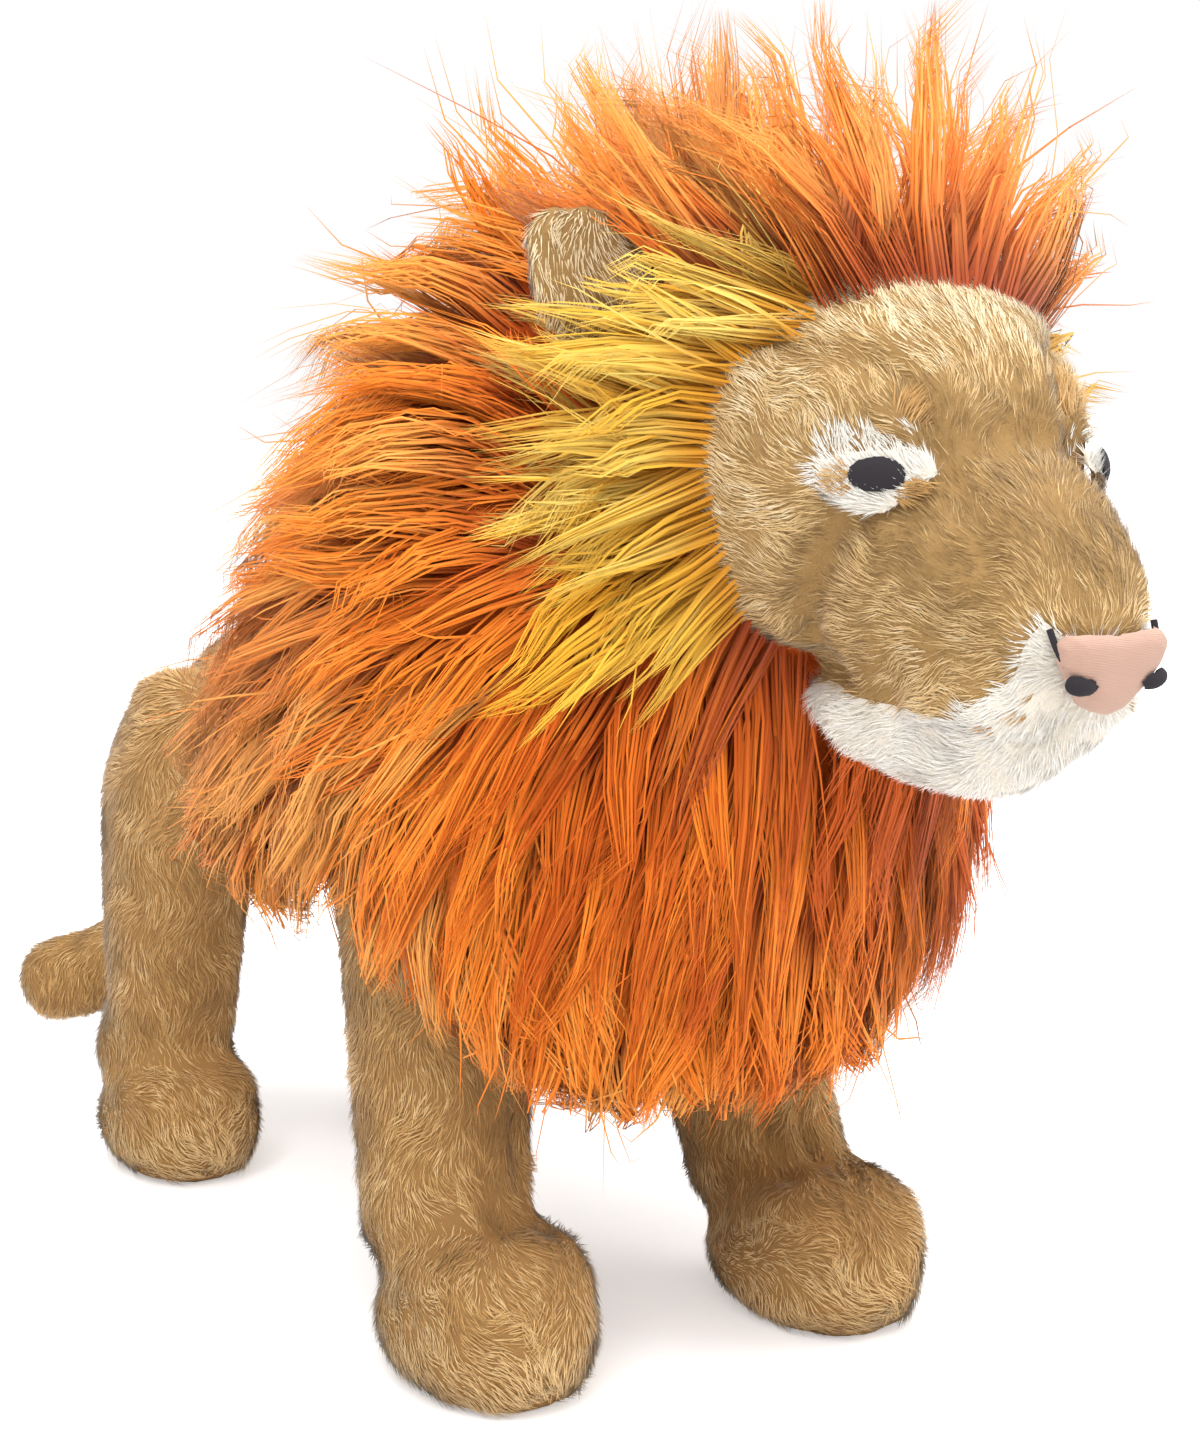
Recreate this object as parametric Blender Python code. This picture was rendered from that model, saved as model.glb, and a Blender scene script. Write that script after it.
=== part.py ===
"""A standing plush lion: short-pile body, head and limbs, a long-pile mane
in sewn panels, stitched eyes and nostrils, and flat soles."""

import math

import bmesh
import bpy
from mathutils import Matrix, Vector

# Seams and gaps
SEAM_GAP = 0.0003
PANEL_GAP = 0.0004
TURN_GAP = 0.0006
CUT_REACH = 0.6
TRIM_SNAP = 0.000002

# Stance
STANCE_WIDTH = 0.108
STANCE_LENGTH = 0.214
LEFT_STEP = 0.005
LEFT_LEG_BACK = 0.010

# Torso
TORSO_LENGTH = 0.292
TORSO_WIDTH = 0.098
TORSO_DEPTH = 0.088
TORSO_AXIS_HEIGHT = 0.149
RUMP_Y = 0.152
TORSO_DOME = 0.014

# Forelegs
FORELEG_WIDTH = 0.054
FORELEG_DEPTH = 0.060
FORELEG_TOP = 0.150
FORELEG_SPREAD = 0.099
FORELEG_Y = -0.072

# Hind legs
HINDLEG_WIDTH = 0.050
THIGH_DEPTH = 0.086
HINDLEG_TOP = 0.158
HINDLEG_SPREAD = 0.096
HINDLEG_Y = 0.108

# Paws and soles
PAW_WIDTH = 0.057
PAW_LENGTH = 0.078
PAW_HEIGHT = 0.046
HIND_PAW_WIDTH = 0.052
HIND_PAW_LENGTH = 0.072
HIND_PAW_HEIGHT = 0.042
ANKLE_DIP = 0.012
SOLE_THICKNESS = 0.0040
SOLE_EDGE = 0.0095
SOLE_BEVEL = 0.0012

# Tail
TAIL_RADIUS = 0.0185
TAIL_BACK = 0.070
TAIL_DROP = 0.120
TAIL_SWING = 0.045
TAIL_ROOT_HEIGHT = 0.152
TAIL_DOME = 0.017

# Neck and the plane of its seam
NECK_Y = -0.168
NECK_HEIGHT = 0.219
NECK_LEAN_DEG = 30.0
NECK_TOP_RADIUS = 0.036
NECK_BASE_RADIUS = 0.046
NECK_LENGTH = 0.085

# Head
HEAD_WIDTH = 0.100
HEAD_HEIGHT = 0.097
HEAD_LENGTH = 0.098
HEAD_BACK_Y = -0.146
HEAD_ABOVE_NECK = 0.035
HEAD_AXIS_HEIGHT = NECK_HEIGHT + HEAD_ABOVE_NECK
HEAD_DOME = 0.010

# Muzzle
MUZZLE_WIDTH = 0.070
MUZZLE_HEIGHT = 0.060
MUZZLE_LENGTH = 0.061
MUZZLE_BACK_Y = -0.222
MUZZLE_BELOW_HEAD = 0.019
MUZZLE_AXIS_HEIGHT = HEAD_AXIS_HEIGHT - MUZZLE_BELOW_HEAD
MUZZLE_DROP = 0.016
MUZZLE_DOME = 0.007

# Lips and chin
LIP_WIDTH = 0.034
LIP_LENGTH = 0.048
LIP_HEIGHT = 0.036
LIP_OUT = 0.0105
LIP_Y = -0.2590
LIP_BELOW_MUZZLE = 0.0280
LIP_Z = MUZZLE_AXIS_HEIGHT - LIP_BELOW_MUZZLE
CHIN_WIDTH = 0.056
CHIN_LENGTH = 0.060
CHIN_HEIGHT = 0.034
CHIN_BACK_Y = -0.206
CHIN_BELOW_MUZZLE = 0.0395
CHIN_AXIS_HEIGHT = MUZZLE_AXIS_HEIGHT - CHIN_BELOW_MUZZLE
CHIN_DOME = 0.009

# Nose
NOSE_WIDTH = 0.030
NOSE_HEIGHT = 0.019
NOSE_DEPTH = 0.022
NOSE_CROWN = 0.004
NOSE_FRONT_Y = -0.2930
NOSE_BELOW_MUZZLE = 0.022
NOSE_Z = MUZZLE_AXIS_HEIGHT - NOSE_BELOW_MUZZLE
NOSE_TILT_DEG = 12.0
NOSTRIL_WIDTH = 0.0105
NOSTRIL_HEIGHT = 0.0062
NOSTRIL_DEPTH = 0.0044
NOSTRIL_OUT = 0.0098
NOSTRIL_DROP = 0.0004

# Eyes
EYE_OUT = 0.0310
EYE_ABOVE_HEAD = 0.001
EYE_Z = HEAD_AXIS_HEIGHT + EYE_ABOVE_HEAD
EYE_TURN_DEG = 46.0
EYE_RAISE_DEG = 12.0
PATCH_WIDTH = 0.0290
PATCH_HEIGHT = 0.0188
PATCH_DEPTH = 0.0060
EYE_WIDTH = 0.0160
EYE_HEIGHT = 0.0100
EYE_DEPTH = 0.0060
EYE_RAISE = 0.0016

# Ears
EAR_OUT = 0.036
EAR_Y = -0.168
EAR_ABOVE_HEAD = 0.028
EAR_Z = HEAD_AXIS_HEIGHT + EAR_ABOVE_HEAD
EAR_LENGTH = 0.040
EAR_WIDTH = 0.036
EAR_THICKNESS = 0.0095
EAR_SPLAY_DEG = 48.0
EAR_BACK_DEG = 6.0
EAR_FOLD_DEG = 25.0
EAR_POCKET_REACH = 0.062
EAR_POCKET_CLEAR = 0.003
SOCKET_CLEAR = 0.0010

# Mane
MANE_WIDTH = 0.216
MANE_HEIGHT = 0.236
MANE_FRONT_Y = -0.216
MANE_SIDE_BACK = 0.016
MANE_LENGTH = 0.222
MANE_BELOW_HEAD = 0.007
MANE_AXIS_HEIGHT = HEAD_AXIS_HEIGHT - MANE_BELOW_HEAD
MANE_LOCK_DEPTH = 0.011
MANE_TIP_LENGTH = 0.030
MANE_TIP_RISE_SHARE = 0.1
MANE_TOP_TAPER_SHARE = 0.16
MANE_FLOOR = 0.086
BIB_AXIS_RISE = 0.016
RUFF_DEPTH = 0.026
CREST_HALF_DEG = 33.0
NAPE_HALF_DEG = 30.0
BIB_HALF_DEG = 52.0
RUFF_LOW_DEG = 142.0

# Counts
BODY_SEGMENTS = 24
LIMB_SEGMENTS = 16
SMALL_SEGMENTS = 14
MANE_LOCKS = 22
LOCK_SEGMENTS = 4
DOME_RINGS = 2
OVAL_RINGS = 7

# Tables of shares: place along the length, then width, upper and lower half
# sizes, and the rise of the axis, each a share of the piece's own sizes
TORSO_ROW_SHARES = (
    (0.00, 0.62, 0.56, 0.64, 0.00),
    (0.07, 0.86, 0.78, 0.88, 0.00),
    (0.20, 1.00, 0.96, 1.00, 0.00),
    (0.38, 0.95, 0.98, 0.94, -0.01),
    (0.54, 0.92, 0.94, 0.95, 0.00),
    (0.68, 0.96, 1.02, 1.04, 0.03),
    (0.82, 1.00, 1.12, 1.14, 0.08),
    (0.93, 0.92, 1.10, 1.12, 0.13),
    (1.00, 0.66, 0.86, 0.84, 0.17),
)
HEAD_ROW_SHARES = (
    (0.00, 0.46, 0.46, 0.44, 0.05),
    (0.12, 0.80, 0.80, 0.82, 0.03),
    (0.32, 0.97, 0.97, 0.98, 0.01),
    (0.52, 1.00, 1.00, 0.98, 0.00),
    (0.74, 0.95, 0.98, 0.93, -0.01),
    (0.88, 0.84, 0.84, 0.80, -0.03),
    (1.00, 0.66, 0.60, 0.58, -0.06),
)
MUZZLE_ROW_SHARES = (
    (0.00, 0.98, 0.84, 1.20, 0.00),
    (0.25, 1.00, 1.00, 1.34, 0.04),
    (0.52, 0.92, 0.98, 1.20, -0.20),
    (0.78, 0.74, 0.80, 0.78, -0.62),
    (0.93, 0.64, 0.56, 0.56, -0.92),
    (1.00, 0.54, 0.40, 0.48, -1.04),
)
CHIN_ROW_SHARES = (
    (0.00, 0.80, 0.60, 0.30, 0.10),
    (0.28, 1.00, 0.80, 0.74, 0.03),
    (0.60, 0.92, 0.90, 1.00, 0.00),
    (0.84, 0.72, 0.80, 0.92, -0.02),
    (1.00, 0.46, 0.56, 0.62, 0.00),
)
FORELEG_ROW_SHARES = (
    (0.00, 0.94, 0.90, 0.88, 0.00),
    (0.22, 0.96, 0.94, 0.94, 0.34),
    (0.50, 1.00, 1.00, 1.00, 0.74),
    (0.78, 1.04, 1.10, 1.10, 0.95),
    (1.00, 0.92, 1.04, 1.00, 1.00),
)
HINDLEG_ROW_SHARES = (
    (0.00, 0.94, 0.60, 0.56, 0.00),
    (0.16, 0.94, 0.60, 0.60, 0.50),
    (0.36, 0.98, 0.68, 0.68, 0.60),
    (0.58, 1.04, 0.90, 0.74, 0.80),
    (0.80, 1.00, 1.02, 0.66, 1.00),
    (1.00, 0.66, 0.78, 0.38, 1.00),
)
PAW_ROW_SHARES = (
    (0.00, 0.70, 0.58, 0.92, -0.04),
    (0.16, 0.86, 0.82, 0.98, -0.02),
    (0.42, 0.98, 0.98, 1.00, 0.00),
    (0.70, 1.00, 0.98, 1.00, 0.00),
    (0.88, 0.92, 0.86, 0.98, -0.03),
    (1.00, 0.76, 0.62, 0.90, -0.08),
)
TAIL_ROW_SHARES = (
    (0.00, 0.00, 0.00, 0.84),
    (0.14, -0.01, -0.10, 0.86),
    (0.28, -0.02, -0.32, 0.90),
    (0.52, 0.14, -0.66, 0.94),
    (0.78, 0.54, -0.92, 0.98),
    (1.00, 1.00, -1.00, 1.00),
)
# Place along the mane, width, upper and lower half sizes, forward lean of
# the ring, rise of the axis, depth of the locks and shift between the locks
MANE_ROW_SHARES = (
    (0.02, 0.40, 0.34, 0.36, -0.16, 0.03, 0.0, 0.0),
    (-0.02, 0.56, 0.56, 0.50, -0.20, 0.02, 0.4, 0.0),
    (0.00, 0.73, 0.80, 0.66, -0.18, 0.02, 0.8, 0.0),
    (0.07, 0.85, 0.94, 0.84, -0.10, 0.00, 0.8, 0.5),
    (0.18, 0.96, 1.03, 1.02, 0.06, -0.05, 1.0, 0.5),
    (0.32, 1.02, 1.09, 1.14, 0.24, -0.13, 0.9, 0.0),
    (0.46, 1.02, 1.04, 1.15, 0.40, -0.22, 1.0, 0.0),
    (0.60, 1.01, 0.93, 1.01, 0.54, -0.30, 0.9, 0.5),
    (0.74, 0.98, 0.79, 0.83, 0.62, -0.36, 1.0, 0.5),
    (0.87, 0.94, 0.62, 0.63, 0.66, -0.40, 0.9, 0.0),
    (0.98, 0.85, 0.44, 0.45, 0.68, -0.43, 0.7, 0.0),
)
MANE_TIP_ROW_SHARE = 0.62
HEEL_SHARE = 0.28
TAIL_OUT_SHARE = 0.5
NOSE_OUTLINE_SHARES = (
    (-1.00, 0.74), (-0.86, 0.98), (-0.45, 1.00), (0.00, 0.94),
    (0.45, 1.00), (0.86, 0.98), (1.00, 0.74), (0.94, 0.30),
    (0.66, -0.32), (0.30, -0.86), (0.00, -1.00), (-0.30, -0.86),
    (-0.66, -0.32), (-0.94, 0.30),
)
NOSE_RING_SHARES = ((1.00, 0.00), (0.96, 0.40), (0.80, 0.80), (0.50, 0.96))
EAR_OUTLINE_SHARES = (
    (0.00, 0.70), (0.18, 0.90), (0.40, 1.00), (0.62, 0.96), (0.82, 0.76),
    (0.95, 0.44),
)

# Colour, roughness and sheen of each finish
FINISHES = {
    "body_pile": ((0.352, 0.214, 0.082, 1.0), 0.92),
    "face_pile": ((0.560, 0.384, 0.196, 1.0), 0.92),
    "sole_pile": ((0.610, 0.450, 0.250, 1.0), 0.92),
    "white_pile": ((0.820, 0.780, 0.700, 1.0), 0.90),
    "orange_pile": ((0.740, 0.170, 0.026, 1.0), 0.80),
    "yellow_pile": ((0.680, 0.330, 0.050, 1.0), 0.80),
    "nose_cloth": ((0.780, 0.520, 0.400, 1.0), 0.60),
    "black_thread": ((0.016, 0.013, 0.016, 1.0), 0.45),
}

HALF_SHARE = 0.5
FULL_TURN = 2.0 * math.pi


def clear_scene():
    """Remove every object so that the build starts empty."""
    for item in list(bpy.data.objects):
        bpy.data.objects.remove(item, do_unlink=True)


def make_finish(name, slot):
    """Return a material of its own for one piece."""
    colour, roughness = FINISHES[slot]
    material = bpy.data.materials.new(slot + "_" + name)
    material.use_nodes = True
    shader = material.node_tree.nodes["Principled BSDF"]
    shader.inputs["Base Color"].default_value = colour
    shader.inputs["Roughness"].default_value = roughness
    material.diffuse_color = colour
    return material


def add_mesh(name, verts, faces):
    """Return a new object with outward faces."""
    mesh = bpy.data.meshes.new(name)
    mesh.from_pydata([tuple(point) for point in verts], [], faces)
    form = bmesh.new()
    form.from_mesh(mesh)
    bmesh.ops.recalc_face_normals(form, faces=form.faces[:])
    form.to_mesh(mesh)
    form.free()
    item = bpy.data.objects.new(name, mesh)
    bpy.context.scene.collection.objects.link(item)
    return item


def close_rings(rings):
    """Return vertices and faces that bridge closed rings and cap both ends."""
    count = len(rings[0])
    verts = [point for ring in rings for point in ring]
    faces = []
    for row in range(len(rings) - 1):
        for step in range(count):
            ahead = (step + 1) % count
            low = row * count
            high = low + count
            faces.append((low + step, low + ahead, high + ahead, high + step))
    last = (len(rings) - 1) * count
    for start, ring in ((0, rings[0]), (last, rings[-1])):
        middle = sum((Vector(point) for point in ring), Vector()) / count
        verts.append(middle)
        hub = len(verts) - 1
        for step in range(count):
            faces.append((start + step, start + (step + 1) % count, hub))
    return verts, faces


def smooth_rows(rows, steps):
    """Return rows with Catmull-Rom rows between them."""
    result = []
    last = len(rows) - 1
    for index in range(last):
        before = rows[max(index - 1, 0)]
        start = rows[index]
        end = rows[index + 1]
        after = rows[min(index + 2, last)]
        for step in range(steps):
            t = step / steps
            result.append(tuple(
                HALF_SHARE * (2.0 * b + (c - a) * t
                              + (2.0 * a - 5.0 * b + 4.0 * c - d) * t * t
                              + (3.0 * b - a - 3.0 * c + d) * t * t * t)
                for a, b, c, d in zip(before, start, end, after)))
    result.append(tuple(rows[last]))
    return result


def oval_ring(centre, side, up, half_side, half_up, half_down, count, power):
    """Return one closed ring of a rounded oval."""
    ring = []
    for step in range(count):
        angle = FULL_TURN * step / count
        cosine = math.cos(angle)
        sine = math.sin(angle)
        across = math.copysign(abs(cosine) ** (2.0 / power), cosine)
        rise = math.copysign(abs(sine) ** (2.0 / power), sine)
        height = half_up if sine > 0.0 else half_down
        ring.append(centre + side * (half_side * across) + up * (height * rise))
    return ring


def loft(name, rows, count, start_dome, end_dome, grow=0.0, power=2.0,
         hint=Vector((1.0, 0.0, 0.0))):
    """Return a closed swelling form along rows of centre and half sizes.

    Each row is (x, y, z, half side, half up, half down). The ends are
    rounded by domes of the given lengths.
    """
    centres = [Vector(row[:3]) for row in rows]
    frames = []
    for index, centre in enumerate(centres):
        ahead = centres[min(index + 1, len(centres) - 1)]
        behind = centres[max(index - 1, 0)]
        along = (ahead - behind).normalized()
        up = along.cross(hint).normalized()
        side = up.cross(along).normalized()
        frames.append((along, side, up))
    rings = []

    def dome(index, sign, length):
        along, side, up = frames[index]
        row = rows[index]
        made = []
        for step in range(1, DOME_RINGS + 1):
            angle = HALF_SHARE * math.pi * step / (DOME_RINGS + HALF_SHARE)
            shrink = math.cos(angle)
            centre = centres[index] + along * (sign * (length + grow) * math.sin(angle))
            made.append(oval_ring(
                centre, side, up, (row[3] + grow) * shrink,
                (row[4] + grow) * shrink, (row[5] + grow) * shrink, count, power))
        return made

    rings.extend(reversed(dome(0, -1.0, start_dome)))
    for index, row in enumerate(rows):
        _, side, up = frames[index]
        rings.append(oval_ring(centres[index], side, up, row[3] + grow,
                               row[4] + grow, row[5] + grow, count, power))
    rings.extend(dome(len(rows) - 1, 1.0, end_dome))
    verts, faces = close_rings(rings)
    return add_mesh(name, verts, faces)


def oval_solid(name, centre, axes, halves, count, grow=0.0):
    """Return an ellipsoid with three axes and half sizes."""
    across, along, up = axes
    rings = []
    for step in range(1, OVAL_RINGS):
        angle = math.pi * step / OVAL_RINGS
        middle = centre - along * ((halves[1] + grow) * math.cos(angle))
        shrink = math.sin(angle)
        rings.append(oval_ring(
            middle, across, up, (halves[0] + grow) * shrink,
            (halves[2] + grow) * shrink, (halves[2] + grow) * shrink, count, 2.0))
    verts, faces = close_rings(rings)
    for offset, sign in ((2, -1.0), (1, 1.0)):
        verts[-offset] = centre + along * (sign * (halves[1] + grow))
    return add_mesh(name, verts, faces)


def trim(item, point, normal):
    """Cut away what lies beyond a plane and close the flat cut."""
    form = bmesh.new()
    form.from_mesh(item.data)
    bmesh.ops.bisect_plane(
        form, geom=form.verts[:] + form.edges[:] + form.faces[:],
        dist=TRIM_SNAP, plane_co=point, plane_no=normal, clear_outer=True)
    rim = [edge for edge in form.edges if edge.is_boundary]
    bmesh.ops.triangle_fill(form, use_beauty=True, use_dissolve=False,
                            edges=rim, normal=normal)
    bmesh.ops.recalc_face_normals(form, faces=form.faces[:])
    form.to_mesh(item.data)
    form.free()
    return item


def bake_modifiers(item):
    """Replace the mesh with the result of its modifiers."""
    graph = bpy.context.evaluated_depsgraph_get()
    mesh = bpy.data.meshes.new_from_object(item.evaluated_get(graph))
    item.modifiers.clear()
    item.data = mesh


def combine(item, cutters):
    """Cut an object by a group of others in one step and drop the others."""
    group = bpy.data.collections.new("cutters")
    bpy.context.scene.collection.children.link(group)
    for cutter in cutters:
        group.objects.link(cutter)
        bpy.context.scene.collection.objects.unlink(cutter)
    tool = item.modifiers.new("cut", "BOOLEAN")
    tool.operation = "DIFFERENCE"
    tool.solver = "EXACT"
    tool.operand_type = "COLLECTION"
    tool.collection = group
    bake_modifiers(item)
    for cutter in cutters:
        bpy.data.objects.remove(cutter, do_unlink=True)
    bpy.data.collections.remove(group)
    return item


def keep_largest(item):
    """Drop loose slivers that a cut leaves beside the main body."""
    form = bmesh.new()
    form.from_mesh(item.data)
    left = set(form.verts)
    groups = []
    while left:
        seed = left.pop()
        group = {seed}
        queue = [seed]
        while queue:
            vertex = queue.pop()
            for edge in vertex.link_edges:
                other = edge.other_vert(vertex)
                if other in left:
                    left.discard(other)
                    group.add(other)
                    queue.append(other)
        groups.append(group)
    groups.sort(key=len, reverse=True)
    spare = [vertex for group in groups[1:] for vertex in group]
    bmesh.ops.delete(form, geom=spare, context="VERTS")
    form.to_mesh(item.data)
    form.free()
    return item


def finish_piece(item, name, slot, parent, smooth=True):
    """Name, colour and parent one finished piece."""
    keep_largest(item)
    item.name = name
    item.data.name = name
    item.data.materials.clear()
    item.data.materials.append(make_finish(name, slot))
    for polygon in item.data.polygons:
        polygon.use_smooth = smooth
        polygon.material_index = 0
    origin = parent.matrix_world.translation
    item.data.transform(Matrix.Translation(-origin))
    item.parent = parent
    return item


def add_empty(name, place, parent=None):
    """Return an empty at a world place."""
    item = bpy.data.objects.new(name, None)
    bpy.context.scene.collection.objects.link(item)
    item.empty_display_size = SOLE_THICKNESS
    base = parent.matrix_world.translation if parent else Vector()
    item.location = Vector(place) - base
    item.parent = parent
    bpy.context.view_layer.update()
    return item


NECK_POINT = Vector((0.0, NECK_Y, NECK_HEIGHT))
NECK_AXIS = Vector((0.0, -math.sin(math.radians(NECK_LEAN_DEG)),
                    math.cos(math.radians(NECK_LEAN_DEG))))
SOLE_TOP = SOLE_THICKNESS + SEAM_GAP


def axis_rows(table, start_y, length, axis_height, width, height, drop=None):
    """Return loft rows that run forward, toward -Y, from shares."""
    rise_size = height if drop is None else drop
    rows = []
    for along, wide, upper, lower, rise in table:
        rows.append((0.0, start_y - length * along, axis_height + rise_size * rise,
                     HALF_SHARE * width * wide, HALF_SHARE * height * upper,
                     HALF_SHARE * height * lower))
    return rows


def torso_form(grow=0.0):
    """Return the torso from rump to chest."""
    rows = axis_rows(TORSO_ROW_SHARES, RUMP_Y, TORSO_LENGTH, TORSO_AXIS_HEIGHT,
                     TORSO_WIDTH, TORSO_DEPTH)
    return loft("torso_form", smooth_rows(rows, 2), BODY_SEGMENTS, TORSO_DOME,
                TORSO_DOME, grow, 2.15)


def neck_form(grow=0.0):
    """Return the round neck stump below the head seam."""
    rows = []
    for share in (0.0, HALF_SHARE, 1.0):
        centre = NECK_POINT - NECK_AXIS * (NECK_LENGTH * (1.0 - share))
        radius = NECK_BASE_RADIUS + (NECK_TOP_RADIUS - NECK_BASE_RADIUS) * share
        rows.append((*centre, radius, radius, radius))
    return loft("neck_form", rows, BODY_SEGMENTS, TORSO_DOME, HEAD_DOME, grow)


def head_form(grow=0.0):
    """Return the skull form with forehead and cheeks."""
    rows = axis_rows(HEAD_ROW_SHARES, HEAD_BACK_Y, HEAD_LENGTH,
                     HEAD_AXIS_HEIGHT, HEAD_WIDTH, HEAD_HEIGHT)
    return loft("head_form", smooth_rows(rows, 2), BODY_SEGMENTS, HEAD_DOME,
                HEAD_DOME, grow, 2.5)


def muzzle_form(grow=0.0):
    """Return the sloping muzzle bridge."""
    rows = axis_rows(MUZZLE_ROW_SHARES, MUZZLE_BACK_Y, MUZZLE_LENGTH,
                     MUZZLE_AXIS_HEIGHT, MUZZLE_WIDTH, MUZZLE_HEIGHT, MUZZLE_DROP)
    return loft("muzzle_form", smooth_rows(rows, 2), LIMB_SEGMENTS, MUZZLE_DOME,
                MUZZLE_DOME, grow, 2.15)


def chin_form(grow=0.0):
    """Return the white chin with its jaw band."""
    rows = axis_rows(CHIN_ROW_SHARES, CHIN_BACK_Y, CHIN_LENGTH,
                     CHIN_AXIS_HEIGHT, CHIN_WIDTH, CHIN_HEIGHT)
    return loft("chin_form", smooth_rows(rows, 2), SMALL_SEGMENTS, CHIN_DOME,
                CHIN_DOME, grow, 2.1)


def lip_form(sign, grow=0.0):
    """Return one rounded upper lip pad."""
    centre = Vector((sign * LIP_OUT, LIP_Y, LIP_Z))
    axes = (Vector((1.0, 0.0, 0.0)), Vector((0.0, -1.0, 0.0)),
            Vector((0.0, 0.0, 1.0)))
    halves = (HALF_SHARE * LIP_WIDTH, HALF_SHARE * LIP_LENGTH,
              HALF_SHARE * LIP_HEIGHT)
    return oval_solid("lip_form", centre, axes, halves, SMALL_SEGMENTS, grow)


def nose_form(grow=0.0):
    """Return the three-cornered nose pad with a crowned front."""
    tilt = Matrix.Rotation(math.radians(NOSE_TILT_DEG), 3, "X")
    centre = Vector((0.0, NOSE_FRONT_Y, NOSE_Z))
    rings = [[]]
    for x, z in NOSE_OUTLINE_SHARES:
        rings[0].append(Vector((x * (HALF_SHARE * NOSE_WIDTH + grow),
                                NOSE_DEPTH,
                                z * (HALF_SHARE * NOSE_HEIGHT + grow))))
    for shrink, ahead in NOSE_RING_SHARES:
        ring = []
        for x, z in NOSE_OUTLINE_SHARES:
            ring.append(Vector((
                x * (HALF_SHARE * NOSE_WIDTH + grow) * shrink,
                NOSE_CROWN * (1.0 - ahead) - grow,
                z * (HALF_SHARE * NOSE_HEIGHT + grow) * shrink)))
        rings.append(ring)
    rings = [[centre + tilt @ point for point in ring] for ring in rings]
    verts, faces = close_rings(rings)
    return add_mesh("nose_form", verts, faces)


def nostril_form(centre):
    """Return one stitched nostril oval."""
    axes = (Vector((1.0, 0.0, 0.0)), Vector((0.0, -1.0, 0.0)),
            Vector((0.0, 0.0, 1.0)))
    halves = (HALF_SHARE * NOSTRIL_WIDTH, HALF_SHARE * NOSTRIL_DEPTH,
              HALF_SHARE * NOSTRIL_HEIGHT)
    return oval_solid("nostril_form", centre, axes, halves, SMALL_SEGMENTS)


def front_point(items, x, z):
    """Return the foremost surface point of some objects at x and z."""
    bpy.context.view_layer.update()
    best = None
    for item in items:
        origin = Vector((x, -CUT_REACH, z)) - item.matrix_world.translation
        found, place, _, _ = item.ray_cast(origin, Vector((0.0, 1.0, 0.0)))
        if found:
            place = place + item.matrix_world.translation
            if best is None or place.y < best.y:
                best = place
    return best


def eye_axes(sign):
    """Return the across, outward and up axes of one eye."""
    outward = Vector((sign * math.sin(math.radians(EYE_TURN_DEG)),
                      -math.cos(math.radians(EYE_TURN_DEG)), 0.0))
    across = outward.cross(Vector((0.0, 0.0, 1.0))).normalized()
    up = Vector((0.0, 0.0, 1.0))
    turn = Matrix.Rotation(math.radians(EYE_RAISE_DEG), 3, across)
    return across, turn @ outward, turn @ up


def eye_solid(name, centre, sign, width, depth, height, grow=0.0):
    """Return one oval of the eye, centred on the face."""
    halves = (HALF_SHARE * width, HALF_SHARE * depth, HALF_SHARE * height)
    return oval_solid(name, centre, eye_axes(sign), halves, SMALL_SEGMENTS, grow)


def ear_axes(sign):
    """Return the length, width and facing axes of one ear."""
    splay = math.radians(EAR_SPLAY_DEG)
    length = Vector((sign * math.sin(splay), 0.0, math.cos(splay)))
    facing = Vector((0.0, -1.0, 0.0))
    width = length.cross(facing).normalized()
    tilt = Matrix.Rotation(-math.radians(EAR_BACK_DEG), 3, width)
    return tilt @ length, width, tilt @ facing


def ear_base(head, sign):
    """Return the seam point of one ear, just off the head's surface."""
    length, _, _ = ear_axes(sign)
    aim = Vector((sign * EAR_OUT, EAR_Y, EAR_Z))
    found, place, _, _ = head.ray_cast(aim + length * HEAD_WIDTH, -length)
    seat = place if found else aim
    return seat + length * (HALF_SHARE * HALF_SHARE * EAR_THICKNESS)


def ear_form(base, sign):
    """Return one flattened, round-topped ear."""
    length, width, _ = ear_axes(sign)
    rows = []
    for along, wide in EAR_OUTLINE_SHARES:
        centre = base + length * (EAR_LENGTH * along)
        rows.append((*centre, HALF_SHARE * EAR_WIDTH * wide,
                     HALF_SHARE * EAR_THICKNESS, HALF_SHARE * EAR_THICKNESS))
    return loft("ear_form", smooth_rows(rows, 2), SMALL_SEGMENTS,
                EAR_THICKNESS * HALF_SHARE, EAR_THICKNESS * HALF_SHARE, 0.0,
                2.0, width)


def ear_groove(base, sign):
    """Return the shallow groove in the head that the ear's seam sits in."""
    length, width, facing = ear_axes(sign)
    half_width = HALF_SHARE * EAR_WIDTH * EAR_OUTLINE_SHARES[0][1]
    half_depth = HALF_SHARE * EAR_THICKNESS
    return oval_solid("ear_groove", base, (width, length, facing),
                      (half_width + SOCKET_CLEAR, half_depth + SOCKET_CLEAR,
                       half_depth + SOCKET_CLEAR), BODY_SEGMENTS)


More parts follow.
